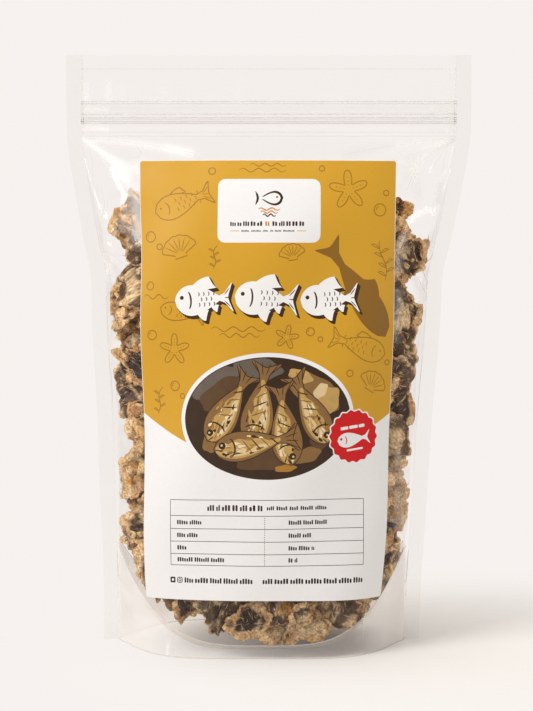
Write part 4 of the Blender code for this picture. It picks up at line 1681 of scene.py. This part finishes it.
def draw_title(page):
    """Bold white fish in a row, each with a dark shade to its lower right."""
    for x, y, length, height, angle in TITLE_FISH:
        body = fish_loop(length, height, 0.8, 26)
        back_fin = fin_loop(0.46 * length, 0.34 * height) + (-0.22 * length, 0.38 * height)
        front_belly = fin_loop(0.22 * length, -0.30 * height) + (-0.14 * length, -0.40 * height)
        rear_belly = fin_loop(0.14 * length, -0.20 * height) + (0.12 * length, -0.24 * height)
        parts = (body, back_fin, front_belly, rear_belly)
        for k in (1.0, 0.75, 0.5, 0.25):
            for part in parts:
                page.at(angle, (x + 1.5 * k, y - 1.6 * k)).fill("shade", grown(part, 0.25))
        pen = page.at(angle, (x, y))
        for part in parts:
            pen.fill("title_white", part)
        pen.line("shade", arc((-0.29 * length, 0.0), 0.07 * length, 0.31 * height, -62, 62, 14), 1.0)
        pen.fill("shade", ellipse((-0.375 * length, 0.10 * height), 1.1, 1.1, 18))
        for row in range(3):
            for k in range(4 - row % 2):
                place = ((-0.10 + 0.085 * k + 0.04 * (row % 2)) * length, 0.17 * (1 - row) * height)
                pen.line("shade", arc(place, 0.9, 1.2, -62, 62, 14), 0.55)
        for k in (-0.20, 0.0, 0.20):
            pen.line("shade", np.linspace((0.36, 0.5 * k), (0.45, 1.5 * k), 4) * (length, height), 0.55)


def draw_dried_fish(page, centre, length, height, angle, flip=1.0):
    """A split and dried fish: dark edge, brown back, gold side, pale belly and fin rays."""
    pen = page.at(angle, centre, (1.0, flip))
    size = np.array((length, height))
    outline = fish_loop(length, height, 0.7, 20)
    pen.fill("picture_dark", grown(outline, 0.5))
    pen.fill("picture_brown", outline)
    u = np.linspace(0.02, 0.98, 24)
    top = 0.5 * height * np.sin(math.pi * u**0.75) ** 0.85 * (1.0 - 0.25 * u)
    x = (u * 0.80 - 0.5) * length
    ripple = 0.05 * height * np.sin(u * 21.0)
    for ink, inner, high, low in (("gold", slice(0, 24), 0.45, -0.90), ("pale", slice(3, 20), -0.25, -0.72)):
        edges = [np.stack((x, top * share + wave), 1)[inner] for share, wave in ((high, ripple), (low, 0.0))]
        pen.fill("picture_" + ink, np.concatenate((edges[0], edges[1][::-1])))
    rng = np.random.default_rng(int(length * 10 + angle * 100))
    for k in range(34):
        share = rng.uniform(0.06, 0.70)
        half = 0.36 * height * math.sin(math.pi * share**0.75) ** 0.85
        spot = ((share * 0.80 - 0.5) * length, rng.uniform(-0.9, 0.9) * half)
        patch = ellipse((0.0, 0.0), rng.uniform(0.9, 2.8), rng.uniform(0.3, 0.8), 10, 0.25, 3)
        ink = ("picture_brown", "picture_cream", "picture_ochre", "picture_dark", "picture_gold")[k % 5]
        pen.fill(ink, turned(patch, rng.uniform(-0.5, 0.5), spot))
    pen.fill("picture_dark", ellipse((-0.40 * length, 0.10 * height), 0.042 * length, 0.042 * length, 16))
    pen.fill("picture_pale", ellipse((-0.405 * length, 0.12 * height), 0.014 * length, 0.014 * length, 8))
    pen.line("picture_dark", arc((-0.33 * length, 0.0), 0.075 * length, 0.33 * height, -66, 66, 14), 0.9)
    pen.line("picture_dark", np.linspace((-0.49, 0.01), (-0.42, -0.07), 6) * size, 0.6)
    for k in range(5):
        start = -0.16 + 0.11 * k
        slope = 1 - 0.12 * k
        fold = np.linspace((start, 0.20 * slope), (start + 0.09, -0.26 * slope), 7) * size
        pen.line("picture_dark" if k % 2 else "picture_brown", fold, 0.7)
    for k in (-0.28, -0.1, 0.1, 0.28):
        pen.line("picture_dark", np.linspace((0.34, 0.5 * k), (0.49, 1.4 * k), 5) * size, 0.5)


# Blurred forms behind the fish. Each row: ink, distances from the picture's middle, half sizes and turn.
PICTURE_GROUND = (
    ("picture_grey", -30, 20, 15, 8, 0.4),
    ("picture_grey", -6, 27, 14, 6, -0.1),
    ("picture_ground", -24, 14, 15, 7, 0.5),
    ("picture_brown", 26, 14, 15, 9, -0.6),
    ("picture_gold", 33, 9, 6, 9, -0.5),
    ("picture_pale", 29, 15, 3, 5, -0.7),
    ("picture_gold", 18, 23, 7, 3.5, -0.3),
    ("picture_ground", 2, -22, 20, 6, 0.1),
    ("picture_brown", -30, -10, 9, 5, 1.2),
    ("picture_ochre", -25, -15, 4, 2, 0.8),
    ("picture_ground", 31, -9, 9, 6, 0.9),
    ("picture_brown", 22, -20, 8, 4, 0.3),
    ("picture_ochre", 10, -27, 6, 2, 0.1),
)


# The dried fish. Each row: distance from the picture's middle, length, height, turn and mirroring.
PICTURE_FISH = (
    ((-21.0, 6.5), 44, 16.5, 1.02),
    ((23.5, 5.5), 43, 16.0, 2.05, -1.0),
    ((-4.5, 8.0), 46, 17.5, 1.40),
    ((9.5, -3.0), 45, 17.0, 1.72, -1.0),
    ((-6.0, -13.5), 47, 16.0, 0.16),
)


def draw_picture(page):
    """The oval picture: dried fish lying across each other on a dark ground, in a white ring."""
    centre = np.array((0.6, 132.4))
    page.fill("paper", ellipse(centre, 48.6, 35.6, 96))
    page.fill("picture_dark", ellipse(centre, 46.4, 33.3, 96))
    inside = Print([])
    for ink, x, y, wide, high, angle in PICTURE_GROUND:
        inside.at(angle, centre + (x, y)).fill(ink, ellipse((0, 0), wide, high, 28, 0.08, 5))
    for place, *rest in PICTURE_FISH:
        draw_dried_fish(inside, centre + place, *rest)
    for ink, loop in inside.shapes:
        # What would reach past the oval is drawn in to its edge.
        away = (loop - centre) / (45.9, 32.8)
        far = np.maximum(np.linalg.norm(away, axis=1), 1.0)
        page.fill(ink, centre + away / far[:, None] * (45.9, 32.8))


# The badge's bars. Each row: left end, height over the badge's middle, width and height.
BADGE_BARS = ((-7.4, 5.2, 4.6, 1.7), (-2.2, 5.2, 5.2, 1.7), (3.6, 5.2, 3.6, 1.7), (-5.0, -7.2, 10.0, 1.1))


def draw_badge(page):
    """The red seal with a scalloped edge: a plain fish between two bars."""
    centre = np.array((49.6, 122.4))
    page.fill("paper", ellipse(centre, 14.9, 14.9, 180, 0.035, 18))
    page.fill("red", ellipse(centre, 14.1, 14.1, 180, 0.035, 18))
    pen = page.at(0.14, centre)
    for x, y, width, height in BADGE_BARS:
        pen.fill("paper", round_box((x, y - height / 2), (x + width, y + height / 2), 0.5, 4))
    pen = page.at(0.14, centre + (0.2, -1.4))
    pen.fill("paper", fish_loop(20.0, 8.2, 0.8, 18))
    pen.fill("red", ellipse((-7.6, 0.9), 0.75, 0.75, 14))
    pen.line("red", arc((-6.0, 0.0), 1.6, 2.5, -60, 60, 10), 0.6)


TABLE_LEFT = -54.0
TABLE_RIGHT = 56.4
TABLE_RULES = (88.0, 79.3, 72.1, 65.1, 58.2, 51.9)
TABLE_DIVIDER = -0.6
# The lengths of the bars that stand for words in each row, on the left and on the right.
TABLE_BARS = (
    ((6.6, 7.0), (7.4, 6.0, 7.2)),
    ((5.0, 6.4), (7.2, 5.0)),
    ((5.6,), (5.0, 6.4, 1.8)),
    ((9.2, 8.6, 7.8), (2.6, 1.8)),
)
HALF_RULE = 0.17


def draw_table(page):
    """A ruled table of five rows, with bars for words and a dotted line between its columns."""
    foot = TABLE_RULES[-1]
    rules = [((TABLE_LEFT, z - HALF_RULE), (TABLE_RIGHT, z + HALF_RULE)) for z in TABLE_RULES]
    rules += [((x - HALF_RULE, foot), (x + HALF_RULE, TABLE_RULES[0])) for x in (TABLE_LEFT, TABLE_RIGHT)]
    for z in np.arange(foot + 0.6, TABLE_RULES[1] - 0.5, 1.15):
        rules.append(((TABLE_DIVIDER - 0.16, z), (TABLE_DIVIDER + 0.16, z + 0.62)))
    for low, high in rules:
        page.fill("rule", round_box(low, high, 0.05, 2))
    middle = (TABLE_RULES[0] + TABLE_RULES[1]) / 2.0
    end = page.words("brown", -32.5, middle, (4.2, 2.4, 5.0, 3.4, 4.4, 3.8, 3.0), 3.3, 0.8)
    page.words("brown_thin", end + 1.2, middle, (4.2, 6.2, 5.0, 7.4, 6.8), 2.3, 1.1)
    for (left, right), upper, lower in zip(TABLE_BARS, TABLE_RULES[1:], TABLE_RULES[2:]):
        page.words("brown_thin", TABLE_LEFT + 4.0, (upper + lower) / 2.0, left, 2.5, 0.8)
        page.words("brown_thin", 12.6, (upper + lower) / 2.0, right, 2.5, 0.8)


def draw_footer(page):
    """A row of small signs and plain bars under the table."""
    height = 43.6
    page.fill("brown", round_box((-54.6, height - 1.6), (-51.5, height + 1.6), 0.6, 4))
    page.fill("paper", ellipse((-53.05, height), 0.75, 0.75, 14))
    page.ring("brown", "paper", round_box((-50.3, height - 1.4), (-47.4, height + 1.4), 0.8, 4), 0.45)
    page.ring("brown", "paper", ellipse((-48.85, height), 0.7, 0.7, 16), 0.4)
    page.words("brown_thin", -46.0, height, (5.4, 8.0, 7.0, 8.4, 7.4), 3.0, 0.75)
    page.words("brown_thin", -1.6, height, (5.8, 8.0, 7.6, 9.6, 8.0, 8.2, 6.4), 3.0, 0.75)


def label_print():
    page = Print([])
    half = LABEL_HALF_WIDTH
    page.fill("paper", round_box((-half, LABEL_FOOT), (half, LABEL_HEAD), 1.5, 6))
    draw_field(page)
    draw_mark(page)
    draw_title(page)
    draw_picture(page)
    draw_badge(page)
    draw_table(page)
    draw_footer(page)
    return page.shapes


INKS = {
    "paper": (0.838, 0.827, 0.826),
    "title_white": (0.88, 0.865, 0.85),
    "ochre": linear(208, 156, 36),
    "ochre_line": linear(160, 114, 28),
    "ochre_dark": linear(140, 98, 28),
    "shade": linear(66, 40, 20),
    "brown": linear(56, 34, 20),
    "brown_thin": linear(46, 30, 22),
    "orange": linear(206, 130, 20),
    "rule": linear(74, 58, 48),
    "red": linear(208, 4, 8),
    "picture_dark": linear(58, 38, 22),
    "picture_ground": linear(92, 66, 40),
    "picture_brown": linear(136, 100, 56),
    "picture_gold": linear(190, 152, 88),
    "picture_pale": linear(216, 190, 142),
    "picture_cream": linear(232, 214, 176),
    "picture_ochre": linear(168, 120, 44),
    "picture_grey": linear(104, 92, 82),
}


def inside_loop(places, loop):
    """Which places lie inside a closed outline, by how often it winds round them."""
    winding = np.zeros(len(places), int)
    for a, b in zip(loop, np.roll(loop, -1, 0)):
        left = (b[0] - a[0]) * (places[:, 1] - a[1]) - (places[:, 0] - a[0]) * (b[1] - a[1])
        winding += (a[1] <= places[:, 1]) & (b[1] > places[:, 1]) & (left > 0)
        winding -= (a[1] > places[:, 1]) & (b[1] <= places[:, 1]) & (left < 0)
    return winding != 0


LONGEST_SIDE = 2.5


def fine_loop(loop):
    """A closed outline with points added, so that no side is longer than this."""
    out = []
    for a, b in zip(loop, np.roll(loop, -1, 0)):
        steps = max(1, int(math.ceil(np.linalg.norm(b - a) / LONGEST_SIDE)))
        out += [a + (b - a) * k / steps for k in range(steps)]
    return np.array(out)


def cut_sheet(shapes):
    """The flat sheet as triangles cut along every shape's outline, each with the number of its ink."""
    places = []
    lines = []
    shapes = [(ink, fine_loop(loop)) for ink, loop in shapes]
    for _, loop in shapes:
        first = len(places)
        count = len(loop)
        lines += [(first + k, first + (k + 1) % count) for k in range(count)]
        places += [Vector(p) for p in loop]
    inner = LABEL_HALF_WIDTH - 1.0
    for height in np.linspace(LABEL_FOOT + 1.5, LABEL_HEAD - 1.5, 82):
        for across in np.linspace(-inner, inner, 50):
            places.append(Vector((across, height)))
    flat, _, faces, _, _, _ = delaunay_2d_cdt(places, lines, [], 0, 1e-5)
    flat = np.array([tuple(p) for p in flat])
    faces = np.array([tuple(f) for f in faces])
    middles = flat[faces].mean(1)
    inks = np.full(len(faces), -1)
    names = list(INKS)
    for ink, loop in shapes:
        low = loop.min(0)
        high = loop.max(0)
        near = np.flatnonzero(((middles >= low) & (middles <= high)).all(1))
        inks[near[inside_loop(middles[near], loop)]] = names.index(ink)
    return flat, faces[inks >= 0].tolist(), inks[inks >= 0].tolist()


def make_label():
    """The label's sheet, cut along every printed shape so that each face has one ink, with a plain back."""
    flat, front, inks = cut_sheet(label_print())
    count = len(flat)
    edges = {(a, b) for face in front for a, b in zip(face, face[1:] + face[:1])}
    rim = [(a, b) for a, b in edges if (b, a) not in edges]
    whole = front + [[v + count for v in face[::-1]] for face in front]
    whole += [[b, a, a + count, b + count] for a, b in sorted(rim)]
    looks = []
    for name, colour in INKS.items():
        change, grain = (0.16, 260.0) if name.startswith("picture") else (0.03, 700.0)
        looks.append(ink_material("ink_" + name, colour, change, grain))
    made = mesh_object("label_sheet", [on_label(flat), on_label(flat, -LABEL_THICKNESS)], whole, *looks)
    paper = list(INKS).index("paper")
    made.data.polygons.foreach_set("material_index", inks + [paper] * (len(whole) - len(front)))
    made.data.update()
    made.data.set_sharp_from_angle(angle=math.radians(50))
    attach(made, BODY)
    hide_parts("label")


# ---------------------------------------------------------------- the whole scene

make_camera()
make_world()
make_floor()
make_lights()
# Milky white beads that paint highlights along creases, zip ribs and seams, and darker grey beads.
creases = {
    "white": film_material("painted_highlight_bead", haze=0.25, gloss=0.0),
    "grey": film_material("crease_grey", clear=(0.974, 0.968, 0.962), haze=0.0, gloss=0.0),
}
make_films(film_material("film"))
make_seals(film_material("seal", clear=(0.984, 0.981, 0.976), haze=0.03, emboss=0.5))
# The foot's brown tint and brown haze paint the warm light that the fish throw under the heap.
foot = film_material("foot", clear=(0.98, 0.945, 0.905), haze=0.0, gloss=0.25, veil=(0.90, 0.78, 0.66))
make_foot(foot, creases["white"])
skirt = film_material("skirt", clear=(0.998, 0.988, 0.978), haze=0.03, streaks=1.5, veil=(0.95, 0.915, 0.885))
make_skirt(skirt, film_material("edge", clear=(0.93, 0.91, 0.89), haze=0.14, gloss=0.0))
make_zip(film_material("zip", clear=(0.994, 0.992, 0.990), haze=0.012), creases)
make_creases(-1.0, "front", creases)
make_creases(1.0, "back", creases)
make_label()
make_fish()
